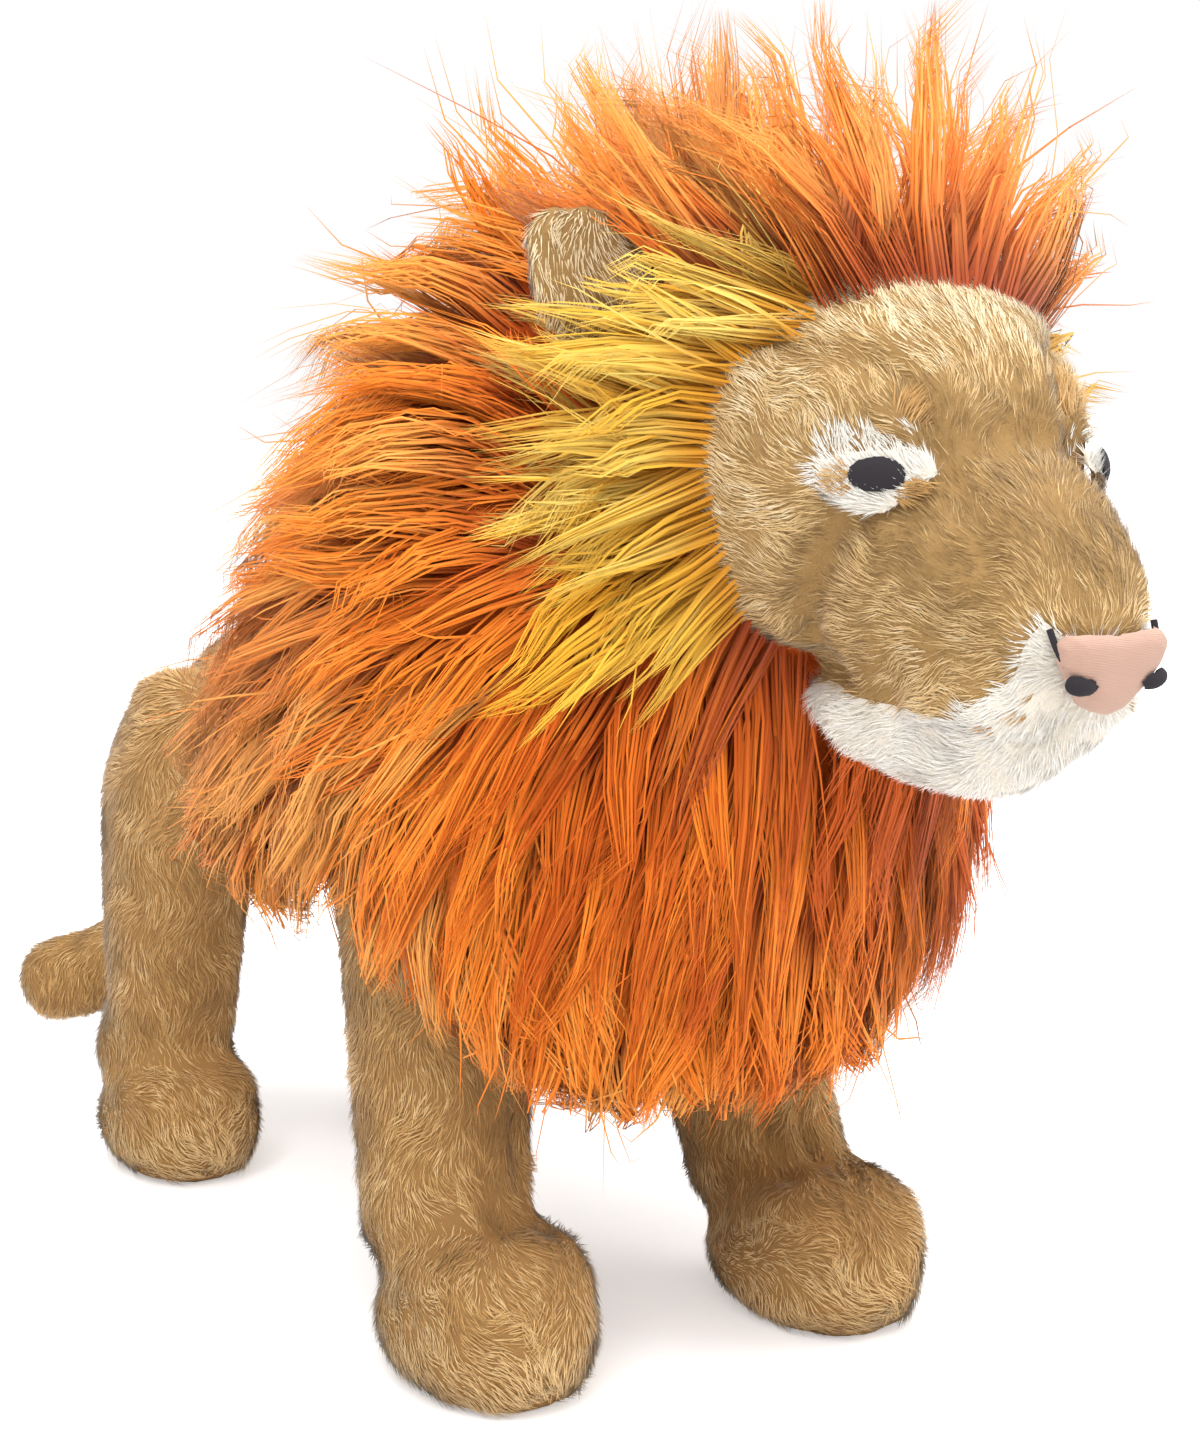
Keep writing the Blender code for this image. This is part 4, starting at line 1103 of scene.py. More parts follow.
@dataclass
class ShortPile:
    """A short brushed pile on one cover."""

    cover: StuffedCover
    lay: Lay
    seed: int
    form: PileForm = BODY_PILE
    name: str = ""
    zone: Zone = Zone.ALL
    finish: PileFinish | None = None
    ground: Item | None = None
    region: tuple[Point, Point] | None = None
    tint: float = 0.0
    middle_tone: float = 0.48
    seam_shade: float = 0.42
    leg_seam_shade: float = 0.46
    toes: Span = (0.013, 0.034)
    ankle: Span = (0.030, 0.060)
    elbow: Span = (0.110, 0.180)
    # The heights over which light from above is painted onto the forehead.
    painted_forehead_light: Span = (0.260, 0.286)
    bridge_front: Span = (0.226, 0.240)
    bridge_top: Span = (0.224, 0.238)
    jowl: Span = (-0.232, -0.212)
    sole_height: float = 0.009
    sole_slope: float = -0.80
    free_height: float = 0.0035
    under_mane: float = 0.0090
    root_depth: float = 0.0003

    def way(self, roots: Roots) -> np.ndarray:
        """Return the brushed direction at each root.

        Args:
            roots: Where the fibres start.

        Returns:
            One direction along the cover for each root.
        """
        down = np.zeros_like(roots.places)
        if self.lay is Lay.DOWN:
            down[:] = DOWNWARD
        elif self.lay is Lay.TOES:
            leg = smooth_step(roots.places[:, 2], *self.ankle)[:, None]
            back = smooth_step(roots.places[:, 2], *self.elbow)[:, None]
            down[:] = np.array([0.0, -0.9, -0.45]) * (1.0 - leg)
            down += np.array(DOWNWARD) * (leg - back)
            down += np.array([0.0, 0.8, -0.6]) * back
        elif self.lay is Lay.FROM_EYE:
            side = np.sign(roots.places[:, :1])
            down[:] = roots.places - np.array(EYE_PLACE) * np.hstack([side, side ** 2,
                                                                      side ** 2])
        else:
            down[:] = roots.places - np.array(NOSE_PLACE)
        down -= roots.normals * np.sum(down * roots.normals, axis=1, keepdims=True)
        down = unit(down)
        side = np.cross(roots.normals, down)
        turn = 0.55 * SoftNoise(105, 0.030).at(roots.places)
        turn += 0.35 * SoftNoise(106, 0.009).at(roots.places)
        return down * np.cos(turn)[:, None] + side * np.sin(turn)[:, None]

    def tones(self, roots: Roots, rng: np.random.Generator) -> np.ndarray:
        """Return the tone of each fibre, from dark to light.

        Args:
            roots: Where the fibres start.
            rng: The source of chance.

        Returns:
            One tone for each fibre, mostly from 0 to 1.
        """
        tone = self.middle_tone + self.tint
        for share, seed, grain in ((0.09, 101, 0.045), (0.14, 102, 0.011),
                                   (0.12, 103, 0.0045)):
            tone = tone + share * SoftNoise(seed, grain).at(roots.places)
        y, z = roots.places[:, 1], roots.places[:, 2]
        if self.zone is Zone.TAN_FACE:
            # Painted light from above: the face's pile is lighter towards the top of the forehead.
            tone += 0.30 * smooth_step(z, *self.painted_forehead_light)
            tone -= 0.46 * smooth_step(-y, *self.bridge_front) * smooth_step(z, *self.bridge_top)
            tone -= 0.14 * smooth_step(-z, *self.jowl)
            for seam in (BROW_SEAM, CHEEK_SEAM, BRIDGE_SEAM):
                tone -= self.seam_shade * seam.shade(roots.places)
        if self.lay is Lay.TOES:
            tone += 0.13 * SoftNoise(107, 0.018).at(roots.places)
            tone += 0.46 * (1.0 - smooth_step(z, *self.toes))
            tone += 0.06 * (1.0 - smooth_step(z, *self.ankle))
            for seam in FORELEG_SEAMS:
                tone -= self.leg_seam_shade * seam.shade(roots.places)
        return np.clip(tone, 0.08, 0.90) + rng.normal(0.0, 0.13, len(roots.places))

    def in_zone(self, places: np.ndarray) -> np.ndarray:
        """Return which places belong to this pile's zone.

        Args:
            places: The places to test.

        Returns:
            One truth value for each place.
        """
        if self.zone is Zone.ALL:
            return np.ones(len(places), bool)
        ring = eye_share(places)
        if self.zone is Zone.EYE_RING:
            return ring < 1.0
        if self.zone is Zone.BROW_TUFT:
            right = np.stack([-np.abs(places[:, 0]), places[:, 1], places[:, 2]], 1)
            return np.linalg.norm(right - np.array(BROW_TUFT_PLACE), axis=1) < 0.0042
        if self.zone is Zone.EYE_CORNERS:
            return near_spots(places, EYE_CORNERS, 0.0027)
        white = places[:, 2] < np.interp(-places[:, 1], *np.array(LIP_EDGE).T)
        if self.zone is Zone.FRECKLES:
            return white & near_spots(places, FRECKLE_PLACES, 0.0013)
        if self.zone is Zone.WHITE_LIP:
            return white
        return ~white & (ring > 1.0) & (in_ruff(places, 0.0030) == 0)

    def build(self, walls: BVHTree, mane: BVHTree) -> None:
        """Grow the pile and hand it to the cover's body.

        Args:
            walls: Every cover of the lion, where no pile may grow into.
            mane: The mane's outer shape, under which no pile grows.
        """
        rng = np.random.default_rng(self.seed)
        roots = Roots.scattered(self.ground or self.cover.item, self.form.spacing, rng)
        roots = roots.kept(self.in_zone(roots.places))
        if self.region:
            low, high = np.array(self.region)
            inside = (roots.places >= low) & (roots.places < high)
            roots = roots.kept(inside.all(axis=1))
        roots = roots.clear_of(walls, self.free_height).outside(mane, self.under_mane)
        if self.lay is Lay.TOES:
            bare = roots.normals[:, 2] <= self.sole_slope
            roots = roots.kept(~(bare & (roots.places[:, 2] <= self.sole_height)))
        count = len(roots.places)
        way = self.way(roots)
        lift = self.form.lift * (1.0 + 0.25 * SoftNoise(104, 0.016).at(roots.places))
        start = unit(roots.normals * lift[:, None] + way
                     + rng.normal(0.0, 0.16, (count, 3)))
        bend = way * 0.25 - roots.normals * 0.30
        length = self.form.length * rng.uniform(0.72, 1.12, count)
        width = self.form.width * rng.uniform(0.7, 1.3, count)
        tone = np.clip(self.tones(roots, rng), 0.02, 0.98)
        hairs = Hairs(roots.places - roots.normals * self.root_depth, roots.normals, start,
                      bend, length, width, tone)
        name = self.name or self.cover.name.replace("cover", "pile")
        item = hairs.mesh(name, SHORT_FIBRE, taper=1.0, flat=0.55, softness=0.80)
        finish = self.finish or self.cover.finish
        dress(item, finish.fibre())
        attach(item, self.cover.body.value)


class ManeZone(Enum):
    """A part of the mane.

    Its first pair is how far the mane faces up there, or down where the third value is -1,
    and its second pair is how far behind the face it ends, each from none to all of it.
    """

    CREST = ((0.40, 0.85), (0.00, 0.10), 1.0)
    UPPER = ((0.00, 0.60), (0.08, 0.18), 1.0)
    BRIM = ((-0.30, 0.10), (0.02, 0.09), 1.0)
    LONG_UPPER = ((0.20, 0.70), (0.06, 0.14), 1.0)
    LOOSE_CREST = ((0.30, 0.80), (0.05, 0.13), 1.0)
    LOOSE_TOP = ((-0.20, 0.30), (0.07, 0.17), 1.0)
    HOLLOW_CREST = ((-0.30, 0.10), (0.015, 0.075), 1.0)
    # The chest, where the hair is painted darker as shade under the chin.
    CHEST = ((0.10, 0.80), (0.03, 0.14), -1.0)
    LOW = ((0.05, 0.80), (FAR, 2.0 * FAR), -1.0)
    SHORT_LOW = ((0.20, 0.80), (FAR, 2.0 * FAR), -1.0)

    def share(self, rise: np.ndarray, behind: np.ndarray) -> np.ndarray:
        """Return how much places belong to the zone.

        Args:
            rise: The upward part of the mane's direction at each place.
            behind: How far each place lies behind the face.

        Returns:
            One share for each place, from 0 to 1.
        """
        up, back, sign = self.value
        return smooth_step(sign * rise, *up) * (1.0 - smooth_step(behind, *back))


@dataclass
class ManeBacking:
    """The bulk of the mane's underhair, which the long hair grows from; its dark cloth is painted
    shade.
    """

    panels: tuple[str, ...]
    ears: Ears
    core: tuple[str, ...] = ("torso", "neck", "head")
    voxel: float = 0.0045
    sink: float = 0.0035
    inset: float = 0.0140
    crest_inset: float = 0.0300
    ear_hollow: float = 0.0300
    step: float = 0.0090
    turns: int = 9
    face: Point = (0.0, -0.190, 0.250)
    axis: Point = (0.0, 0.932, -0.362)
    item: Item = field(default=None, init=False)
    envelope: BVHTree = field(default=None, init=False)

    def spread(self, places: np.ndarray) -> tuple[np.ndarray, np.ndarray, np.ndarray]:
        """Return the radial direction, its rise and the place behind the face.

        Args:
            places: Places on or near the mane.

        Returns:
            The radial directions, their upward parts and the distances behind the face.
        """
        from_face = places - np.array(self.face)
        axis = unit(np.array(self.axis))
        behind = from_face @ axis
        radial = unit(from_face - behind[:, None] * axis)
        return radial, radial[:, 2], behind

    def build(self) -> "ManeBacking":
        """Grow the backing from the head, neck and chest towards the mane's outer shape."""
        outer = joined(self.panels + self.core, "mane_outer")
        rounded(outer, self.voxel, 0.8, 10)
        self.envelope = tree_of(outer)
        bpy.data.objects.remove(outer)
        self.item = joined(self.core, "mane_backing")
        rounded(self.item, self.voxel, 0.8, 6, self.sink)
        for _ in range(self.turns):
            places, normals = coordinates(self.item), vertex_normals(self.item)
            grow = np.clip(self.depth(places) - self.wanted(places), 0.0, self.step)
            set_coordinates(self.item, places + normals * grow[:, None])
            rounded(self.item, self.voxel, 0.5, 2)
        places = coordinates(self.item)
        short = self.depth(places) - self.wanted(places)
        LOG.info("mane_backing: %.1f mm short of its depth at the 90th percentile",
                 1000.0 * float(np.percentile(short, 90)))
        smooth(self.item)
        return self

    def depth(self, places: np.ndarray) -> np.ndarray:
        """Return how deep places lie inside the mane's outer shape."""
        return -over(self.envelope, places)[0]

    def wanted(self, places: np.ndarray) -> np.ndarray:
        """Return how deep the backing should lie.

        Args:
            places: Places on the backing.

        Returns:
            One depth for each place.
        """
        _, rise, behind = self.spread(places)
        crest = ManeZone.HOLLOW_CREST.share(rise, behind)
        hollow = 1.0 - smooth_step(ear_gap(places, self.ears, 0.2, 0.75), 0.012, 0.028)
        return self.inset + np.maximum(self.crest_inset * crest, self.ear_hollow * hollow)

    def dress(self) -> None:
        """Give the backing its cloth and bake its transform into its mesh."""
        dress(self.item, ORANGE.cloth())
        with_neck(self.item)


@dataclass
class ManeHair:
    """The long hair of the mane, grown in pointed locks and split by sewn panel."""

    backing: ManeBacking
    skin: Item
    ears: Ears
    seed: int = 41
    lock_spacing: float = 0.0112
    hair_spacing: float = 0.00186
    ruff_lock_spacing: float = 0.0074
    ruff_hair_spacing: float = 0.00150
    length: float = 0.064
    width: float = 0.00088
    ear_clear: float = 0.0050
    proud: float = 0.0080
    ruff_reach: float = 0.056
    ruff_depth: float = 0.040
    ruff_turns: Span = (40.0, 108.0)
    left_ruff_turn: float = 57.0
    cheek_reach: float = 0.060
    cheek_depth: float = 0.018
    cheek_turn: float = 122.0
    free_height: float = 0.030
    lowest_root: float = 0.06
    stray_share: float = 0.06
    stray_clump: float = 0.2
    clump: Span = (0.72, 0.99)
    stray_loose: float = 0.16
    loose: float = 0.014

    def way(self, roots: Roots, ruff: np.ndarray) -> tuple[np.ndarray, np.ndarray]:
        """Return the growing direction and the later bend at each root.

        Args:
            roots: Where the locks start.
            ruff: True for the locks of the yellow ruff.

        Returns:
            The directions and the bends.
        """
        radial, rise, behind = self.backing.spread(roots.places)
        crest, upper, brim, low = (zone.share(rise, behind) for zone in (
            ManeZone.CREST, ManeZone.UPPER, ManeZone.BRIM, ManeZone.LOW))
        axis, down = unit(np.array(self.backing.axis)), np.array([0.0, 0.0, -1.0])
        front = 1.0 - smooth_step(behind, 0.00, 0.10)
        outward = 0.40 + 0.70 * crest + 0.60 * front * (1.0 - low) + 0.40 * upper
        outward = outward + 0.60 * brim
        back = 1.00 - 0.40 * crest - 0.65 * low - 0.20 * upper - 0.36 * brim
        fall = 0.10 - 0.10 * crest + 1.00 * low + 0.14 * smooth_step(behind, 0.05, 0.16)
        outward = np.where(ruff, 1.00, outward)
        back = np.where(ruff, 0.36, back)
        fall = np.where(ruff, 0.06 + 0.36 * low, fall)
        start = radial * outward[:, None] + axis * back[:, None] + down * fall[:, None]
        fan = 0.70 * crest * np.clip(roots.places[:, 0] / 0.045, -1.0, 1.0)
        start[:, 0] += np.where(ruff, 0.0, fan)
        sunk = np.minimum(np.sum(start * roots.normals, axis=1, keepdims=True), 0.0)
        start = unit(start - roots.normals * sunk)
        start = start + roots.normals * (0.34 - 0.14 * crest)[:, None]
        bend = down * (0.16 + 0.20 * low)[:, None] * (1.0 - 0.9 * crest)[:, None]
        bend = bend + axis * (0.12 - 0.04 * crest)[:, None] - roots.normals * 0.20
        return unit(start), bend

    def inside(self, guides: Hairs, slack: np.ndarray, stiff: np.ndarray) -> np.ndarray:
        """Bend the locks under the mane's outer shape and return their lengths.

        Args:
            guides: The locks' centre lines, whose bends are changed.
            slack: How far each tip may stand out.
            stiff: How far each lock is cut short rather than bent, from 0 to 1.

        Returns:
            The shortened lengths.
        """
        length = guides.length.copy()
        for turn in range(3):
            out, ways = over(self.backing.envelope, guides.centre(1.0))
            extra = np.maximum(out - slack, 0.0) / guides.length
            if turn < 2:
                guides.bend -= ways * (extra * (1.0 - stiff))[:, None]
            else:
                length *= np.maximum(0.50, 1.0 - extra)
        return self.short_of_ears(guides, length)

    def short_of_ears(self, guides: Hairs, length: np.ndarray) -> np.ndarray:
        """Return lengths that leave most of each ear free.

        Args:
            guides: The locks' centre lines.
            length: Their lengths so far.

        Returns:
            The lengths, shortened where a lock would lie over an ear.
        """
        for height in (1.0, 0.8, 0.6, 0.4):
            gap = ear_gap(guides.centre(height), self.ears, 0.70, 0.85)
            length = np.where(gap < self.ear_clear,
                              np.minimum(length, guides.length * height * 0.75), length)
        return length

    def sways(self, places: np.ndarray, first: int, grain: float) -> np.ndarray:
        """Return soft sideways moves that neighbouring locks share.

        Args:
            places: Where the locks start.
            first: The number added to the seed for the first axis.
            grain: How far the moves reach before they change.

        Returns:
            One move for each place.
        """
        return np.stack([SoftNoise(self.seed + first + k, grain).at(places)
                         for k in range(3)], 1)

    def locks(self, roots: Roots, ruff: np.ndarray, rng: np.random.Generator) -> Hairs:
        """Return the centre lines of the locks.

        Args:
            roots: Where the locks start.
            ruff: True for the locks of the yellow ruff.
            rng: The source of chance.

        Returns:
            The centre lines, cut and bent to the mane's outer shape.
        """
        places, count = roots.places, len(roots.places)
        start, bend = self.way(roots, ruff)
        sway, swirl = self.sways(places, 0, 0.060), self.sways(places, 11, 0.035)
        start = unit(start + 0.20 * sway + rng.normal(0.0, 0.13, (count, 3)))
        bend = bend + rng.normal(0.0, 0.12, (count, 3))
        _, rise, behind = self.backing.spread(places)
        upper, brim, low, crest, top = (zone.share(rise, behind) for zone in (
            ManeZone.LONG_UPPER, ManeZone.BRIM, ManeZone.SHORT_LOW, ManeZone.LOOSE_CREST,
            ManeZone.LOOSE_TOP))
        length = self.length * rng.uniform(0.74, 1.15, count)
        grown = (1.0 + 0.34 * upper + 0.10 * brim) * (1.0 - 0.12 * low)
        length = length * np.where(ruff, 0.76 - 0.20 * low, grown)
        # Painted light and shade: lighter on the crest and towards the back, darker on the chest.
        tone = 0.50 + self.light(places) + np.where(ruff, 0.10, 0.0)
        tone = tone + 0.14 * SoftNoise(self.seed + 7, 0.045).at(places)
        tone = tone + rng.normal(0.0, 0.15, count)
        guides = Hairs(places, roots.normals, start, bend, length,
                       np.full(count, self.width), tone,
                       frizz=rng.normal(0.0, 0.0034, (count, 3)) + 0.0036 * swirl,
                       wave=rng.normal(0.0, 0.0026, (count, 3)) + 0.0042 * sway)
        slack = 0.002 + rng.uniform(-0.006, 0.006, count)
        slack = slack + crest * (0.012 - 0.021 * rng.random(count)) + 0.014 * top
        guides.length = self.inside(guides, slack, 0.55 * crest)
        return guides

    def build(self, walls: BVHTree) -> None:
        """Grow the hair, in one object for each panel of the mane.

        Args:
            walls: The covers, where no hair grows out of.
        """
        rng = np.random.default_rng(self.seed)
        locks = self.scattered(self.lock_spacing, self.ruff_lock_spacing, walls, rng)
        panel = self.panel_of(locks.places)
        ruff = np.array([name.startswith("cheek_ruff") for name in panel])
        guides = self.locks(locks, ruff, rng)
        tree = KDTree(len(locks.places))
        for index, place in enumerate(locks.places):
            tree.insert(Vector(place), index)
        tree.balance()
        hairs = self.scattered(self.hair_spacing, self.ruff_hair_spacing, walls, rng)
        owner = np.array([tree.find(Vector(place))[1] for place in hairs.places])
        for name in self.backing.panels:
            mine = np.nonzero(np.array([panel[k] == name for k in owner]))[0]
            if len(mine):
                self.panel(name, hairs, owner, mine, guides, rng)

    def trim(self, hairs: Hairs) -> None:
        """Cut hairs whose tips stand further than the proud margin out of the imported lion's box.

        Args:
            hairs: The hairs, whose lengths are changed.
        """
        low, high = (np.array(corner) for corner in CAD_BOX)
        tip = hairs.centre(1.0)
        out = np.maximum(tip - high, low - tip) - self.proud
        reach = np.maximum(np.abs(tip - hairs.roots), 0.001)
        share = 1.0 - np.maximum(out, 0.0) / reach
        hairs.length *= np.clip(share.min(axis=1), 0.3, 1.0)

    def light(self, places: np.ndarray) -> np.ndarray:
        """Return the painted light and shade of the hair, as a change from the middle tone.

        The hair is painted palest on the crest and towards the back, where light falls, and deepest
        in shade on the chest.

        Args:
            places: Where the hair starts.

        Returns:
            One difference for each place.
        """
        _, rise, behind = self.backing.spread(places)
        chest = ManeZone.CHEST.share(rise, behind)
        return (0.22 * smooth_step(rise, 0.20, 0.90) + 0.34 * smooth_step(behind, 0.03, 0.13)
                - 0.44 * chest)

    def scattered(self, spacing: float, ruff_spacing: float, walls: BVHTree,
                  rng: np.random.Generator) -> Roots:
        """Return roots on the backing and on the cheeks under the ruffs.

        Args:
            spacing: The distance between roots on the backing.
            ruff_spacing: The distance between roots on the cheeks.
            walls: The covers, where no hair grows out of.
            rng: The source of chance.

        Returns:
            The roots.
        """
        mane = self.free(Roots.scattered(self.backing.item, spacing, rng), walls)
        cheek = Roots.scattered(self.skin, ruff_spacing, rng)
        hairy = (in_ruff(cheek.places) != 0.0) | in_crest(cheek.places)
        cheek = cheek.kept(hairy).outside(tree_of(self.backing.item), 0.001)
        cheek = self.free(cheek, walls)
        return Roots(np.concatenate([mane.places, cheek.places]),
                     np.concatenate([mane.normals, cheek.normals]))

    def free(self, roots: Roots, walls: BVHTree) -> Roots:
        """Return the roots that stand free of the covers and of the ears.

        Args:
            roots: The roots to choose from.
            walls: The covers.

        Returns:
            The roots that stay.
        """
        roots = roots.clear_of(walls, self.free_height)
        keep = roots.places[:, 2] > self.lowest_root
        keep &= ear_gap(roots.places, self.ears, 0.0, 0.0) > self.ear_clear
        return roots.kept(keep)

    def panel_of(self, places: np.ndarray) -> list[str]:
        """Return the name of the sewn panel that each place belongs to.

        Args:
            places: Where the locks start.

        Returns:
            One imported panel's name for each place.
        """
        trees = {name: tree_of(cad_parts[name]) for name in self.backing.panels
                 if not name.startswith("cheek_ruff")}
        radial, rise, behind = self.backing.spread(places)
        from_axis = np.linalg.norm(np.cross(places - np.array(self.backing.face),
                                            unit(np.array(self.backing.axis))), axis=1)
        turn = np.degrees(np.arctan2(np.abs(radial[:, 0]), rise))
        ruff = (from_axis < self.ruff_reach) & (behind < self.ruff_depth)
        ruff &= (turn > self.ruff_turns[0]) & (turn < self.ruff_turns[1])
        seam = np.interp(places[:, 2], *np.array(RUFF_SEAM).T)
        ruff |= ((in_ruff(places) != 0.0) & (from_axis < self.cheek_reach)
                 & (places[:, 1] < seam + self.cheek_depth) & (turn < self.cheek_turn))
        ruff &= (places[:, 0] < 0.0) | (turn > self.left_ruff_turn)
        names = []
        for place, yellow in zip(places, ruff):
            if yellow:
                names.append("cheek_ruff_right" if place[0] < 0.0 else "cheek_ruff_left")
                continue
            gaps = {name: tree.find_nearest(Vector(place))[3] for name, tree in trees.items()}
            names.append(min(gaps, key=gaps.get))
        return names

    def panel(self, name: str, hairs: Roots, owner: np.ndarray, mine: np.ndarray,
              guides: Hairs, rng: np.random.Generator) -> None:
        """Grow the hair of one sewn panel.

        Args:
            name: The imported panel's name.
            hairs: All hair roots.
            owner: The lock of each hair.
            mine: The hairs of this panel.
            guides: The locks.
            rng: The source of chance.
        """
        lock, count = owner[mine], len(mine)
        roots = hairs.places[mine]
        stray = rng.random(count) < self.stray_share
        clump = np.where(stray, self.stray_clump, rng.uniform(*self.clump, count))
        loose = np.where(stray, self.stray_loose, self.loose)[:, None]
        grown = Hairs(
            roots, hairs.normals[mine],
            unit(guides.start[lock] + rng.normal(0.0, 1.0, (count, 3)) * loose),
            guides.bend[lock] + rng.normal(0.0, 1.0, (count, 3)) * loose,
            guides.length[lock] * rng.uniform(0.70, 1.06, count),
            self.width * rng.uniform(0.55, 1.25, count),
            np.clip(guides.tone[lock] + rng.normal(0.0, 0.10, count), 0.02, 0.98),
            pull=(guides.roots[lock] - roots) * clump[:, None],
            frizz=guides.frizz[lock] + rng.normal(0.0, 0.0006, (count, 3)),
            wave=guides.wave[lock] + rng.normal(0.0, 0.0003, (count, 3)), streak=0.003)
        self.trim(grown)
        finish = YELLOW if name.startswith("cheek_ruff") else ORANGE
        item = grown.mesh(name + "_hair", LONG_FIBRE, taper=2.2, flat=0.45, softness=0.68)
        dress(item, finish.fibre())
        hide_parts(name)
        with_neck(item)


@dataclass
class SewnFeature:
    """A small smooth piece of the face, such as the nose or an eye."""

    name: str
    node: str
    finish: ThreadFinish
    voxel: float
    rounding: int = 2
    inset: float = 0.0

    def build(self) -> None:
        """Make the piece, dress it and hand it to the head."""
        item = joined((self.node,), self.name)
        rounded(item, self.voxel, 0.5, self.rounding, self.inset)
        smooth(item)
        dress(item, self.finish.material())
        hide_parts(self.node)
        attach(item, Body.HEAD.value)


@dataclass
class StitchedLine:
    """A line of black stitches, worked as one thin raised cord on both sides."""

    name: str
    points: tuple[Point, ...]
    radius: float = 0.0008

    def build(self) -> None:
        """Make the line on both sides and hand it to the head."""
        for side, sign in zip(SIDES, (1.0, -1.0)):
            clear_selection()
            bpy.ops.curve.primitive_nurbs_path_add(location=(0.0, 0.0, 0.0))
            item = bpy.context.object
            curve = item.data
            curve.splines.clear()
            spline = curve.splines.new("NURBS")
            spline.points.add(len(self.points) - 1)
            for point, (x, y, z) in zip(spline.points, self.points):
                point.co = (x * sign, y, z, 1.0)
            spline.use_endpoint_u = True
            spline.order_u = 3
            curve.resolution_u = 8
            curve.bevel_depth = self.radius
            curve.bevel_resolution = 3
            curve.use_fill_caps = True
            only(item)
            bpy.ops.object.convert(target="MESH")
            item = bpy.context.object
            item.name = item.data.name = f"{self.name}_{side}"
            smooth(item)
            dress(item, BLACK_THREAD.material())
            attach(item, Body.HEAD.value)


NOSE_EDGE = StitchedLine("nose_edge_stitch", (
    (-0.0150, -0.2712, 0.2242), (-0.0147, -0.2724, 0.2215),
    (-0.0141, -0.2734, 0.2190), (-0.0130, -0.2745, 0.2165)))


@dataclass(frozen=True)
class Lamp:
    """A square soft lamp, with its side in metres and its power in watts."""

    name: str
    place: Point
    size: float
    power: float

    def hang(self, aim: Point) -> None:
        """Hang the lamp and point it.

        Args:
            aim: The place it points at.
        """
        clear_selection()
        bpy.ops.object.light_add(type="AREA", location=self.place)
        lamp = bpy.context.object
        lamp.name = self.name
        lamp.data.size = self.size
        lamp.data.energy = self.power
        lamp.rotation_euler = facing(self.place, aim)


@dataclass
class Studio:
    """The white studio with its soft light and the camera of the photograph."""

    lens: float = 66.05
    sensor: float = 36.0
    eye: Point = (-0.3921, -0.6976, 0.2964)
    aim: Point = (0.0498, 0.0153, 0.1584)
    middle: Point = (0.0, 0.0, 0.16)
    lamps: tuple[Lamp, ...] = (Lamp("key_lamp", (-0.9, -1.1, 1.6), 1.4, 30.5),
                               Lamp("top_lamp", (0.1, 0.2, 1.9), 1.6, 24.0),
                               Lamp("side_lamp", (1.5, -0.9, 0.9), 1.2, 16.5))
    floor_size: float = 8.0
    floor_colour: Colour = (0.86, 0.855, 0.86)
    glow_near: Span = (0.16, 0.38)
    glow_far: Span = (0.70, 0.83)
    world_light: float = 0.62

    def floor(self) -> None:
        """Lay the white floor, which keeps the lion's shadow."""
        clear_selection()
        bpy.ops.mesh.primitive_plane_add(size=self.floor_size)
        item = bpy.context.object
        item.name = "studio_floor"
        material, _ = material_named("studio_floor")
        tree = material.node_tree
        shader = tree.nodes["Principled BSDF"]
        feed(tree, shader, {"Base Color": rgba(self.floor_colour), "Roughness": 0.9})
        reach = add(tree, "VectorMath", {0: add(tree, "TexCoord").outputs["Object"]},
                    operation="LENGTH")
        (near, low), (far, high) = self.glow_near, self.glow_far
        fade = add(tree, "MapRange", {
            "Value": reach.outputs["Value"], "From Min": near, "From Max": far,
            "To Min": low, "To Max": high}, interpolation_type="SMOOTHSTEP")
        seen = add(tree, "LightPath").outputs["Is Camera Ray"]
        glow = add(tree, "Emission", {
            "Color": (1.0, 1.0, 1.0, 1.0),
            "Strength": counted(tree, "MULTIPLY", seen, fade.outputs[0])})
        total = add(tree, "AddShader", {0: shader.outputs[0], 1: glow.outputs[0]})
        feed(tree, tree.nodes["Material Output"], {"Surface": total.outputs[0]})
        item.data.materials.append(material)

    def sky(self) -> None:
        """Light the world, and keep it white where it is seen."""
        world = bpy.data.worlds.new("studio")
        bpy.context.scene.world = world
        world.use_nodes = True
        tree = world.node_tree
        path = add(tree, "LightPath").outputs
        seen = counted(tree, "MAXIMUM", path["Is Camera Ray"], path["Is Glossy Ray"])
        level = add(tree, "MapRange", {"Value": seen, "To Min": self.world_light,
                                       "To Max": 1.0})
        feed(tree, tree.nodes["Background"], {"Color": (1.0, 1.0, 1.0, 1.0),
                                              "Strength": level.outputs[0]})

    def camera(self) -> None:
        """Set up the camera of the photograph."""
        clear_selection()
        bpy.ops.object.camera_add(location=self.eye)
        camera = bpy.context.object
        camera.name = "camera"
        camera.rotation_euler = facing(self.eye, self.aim)
        camera.data.lens = self.lens
        camera.data.sensor_width = self.sensor
        camera.data.clip_start = 0.01
        bpy.context.scene.camera = camera
        bpy.context.scene.view_settings.view_transform = "Standard"

    def build(self) -> None:
        """Set up the floor, light, world and camera."""
        self.floor()
        for lamp in self.lamps:
            lamp.hang(self.middle)
        self.sky()
        self.camera()


MANE_PANELS = ("mane_crest", "mane_throat", "mane_side_right", "mane_side_left",
               "cheek_ruff_right", "cheek_ruff_left", "mane_nape", "mane_bib",
               "mane_shoulder_right", "mane_shoulder_left")


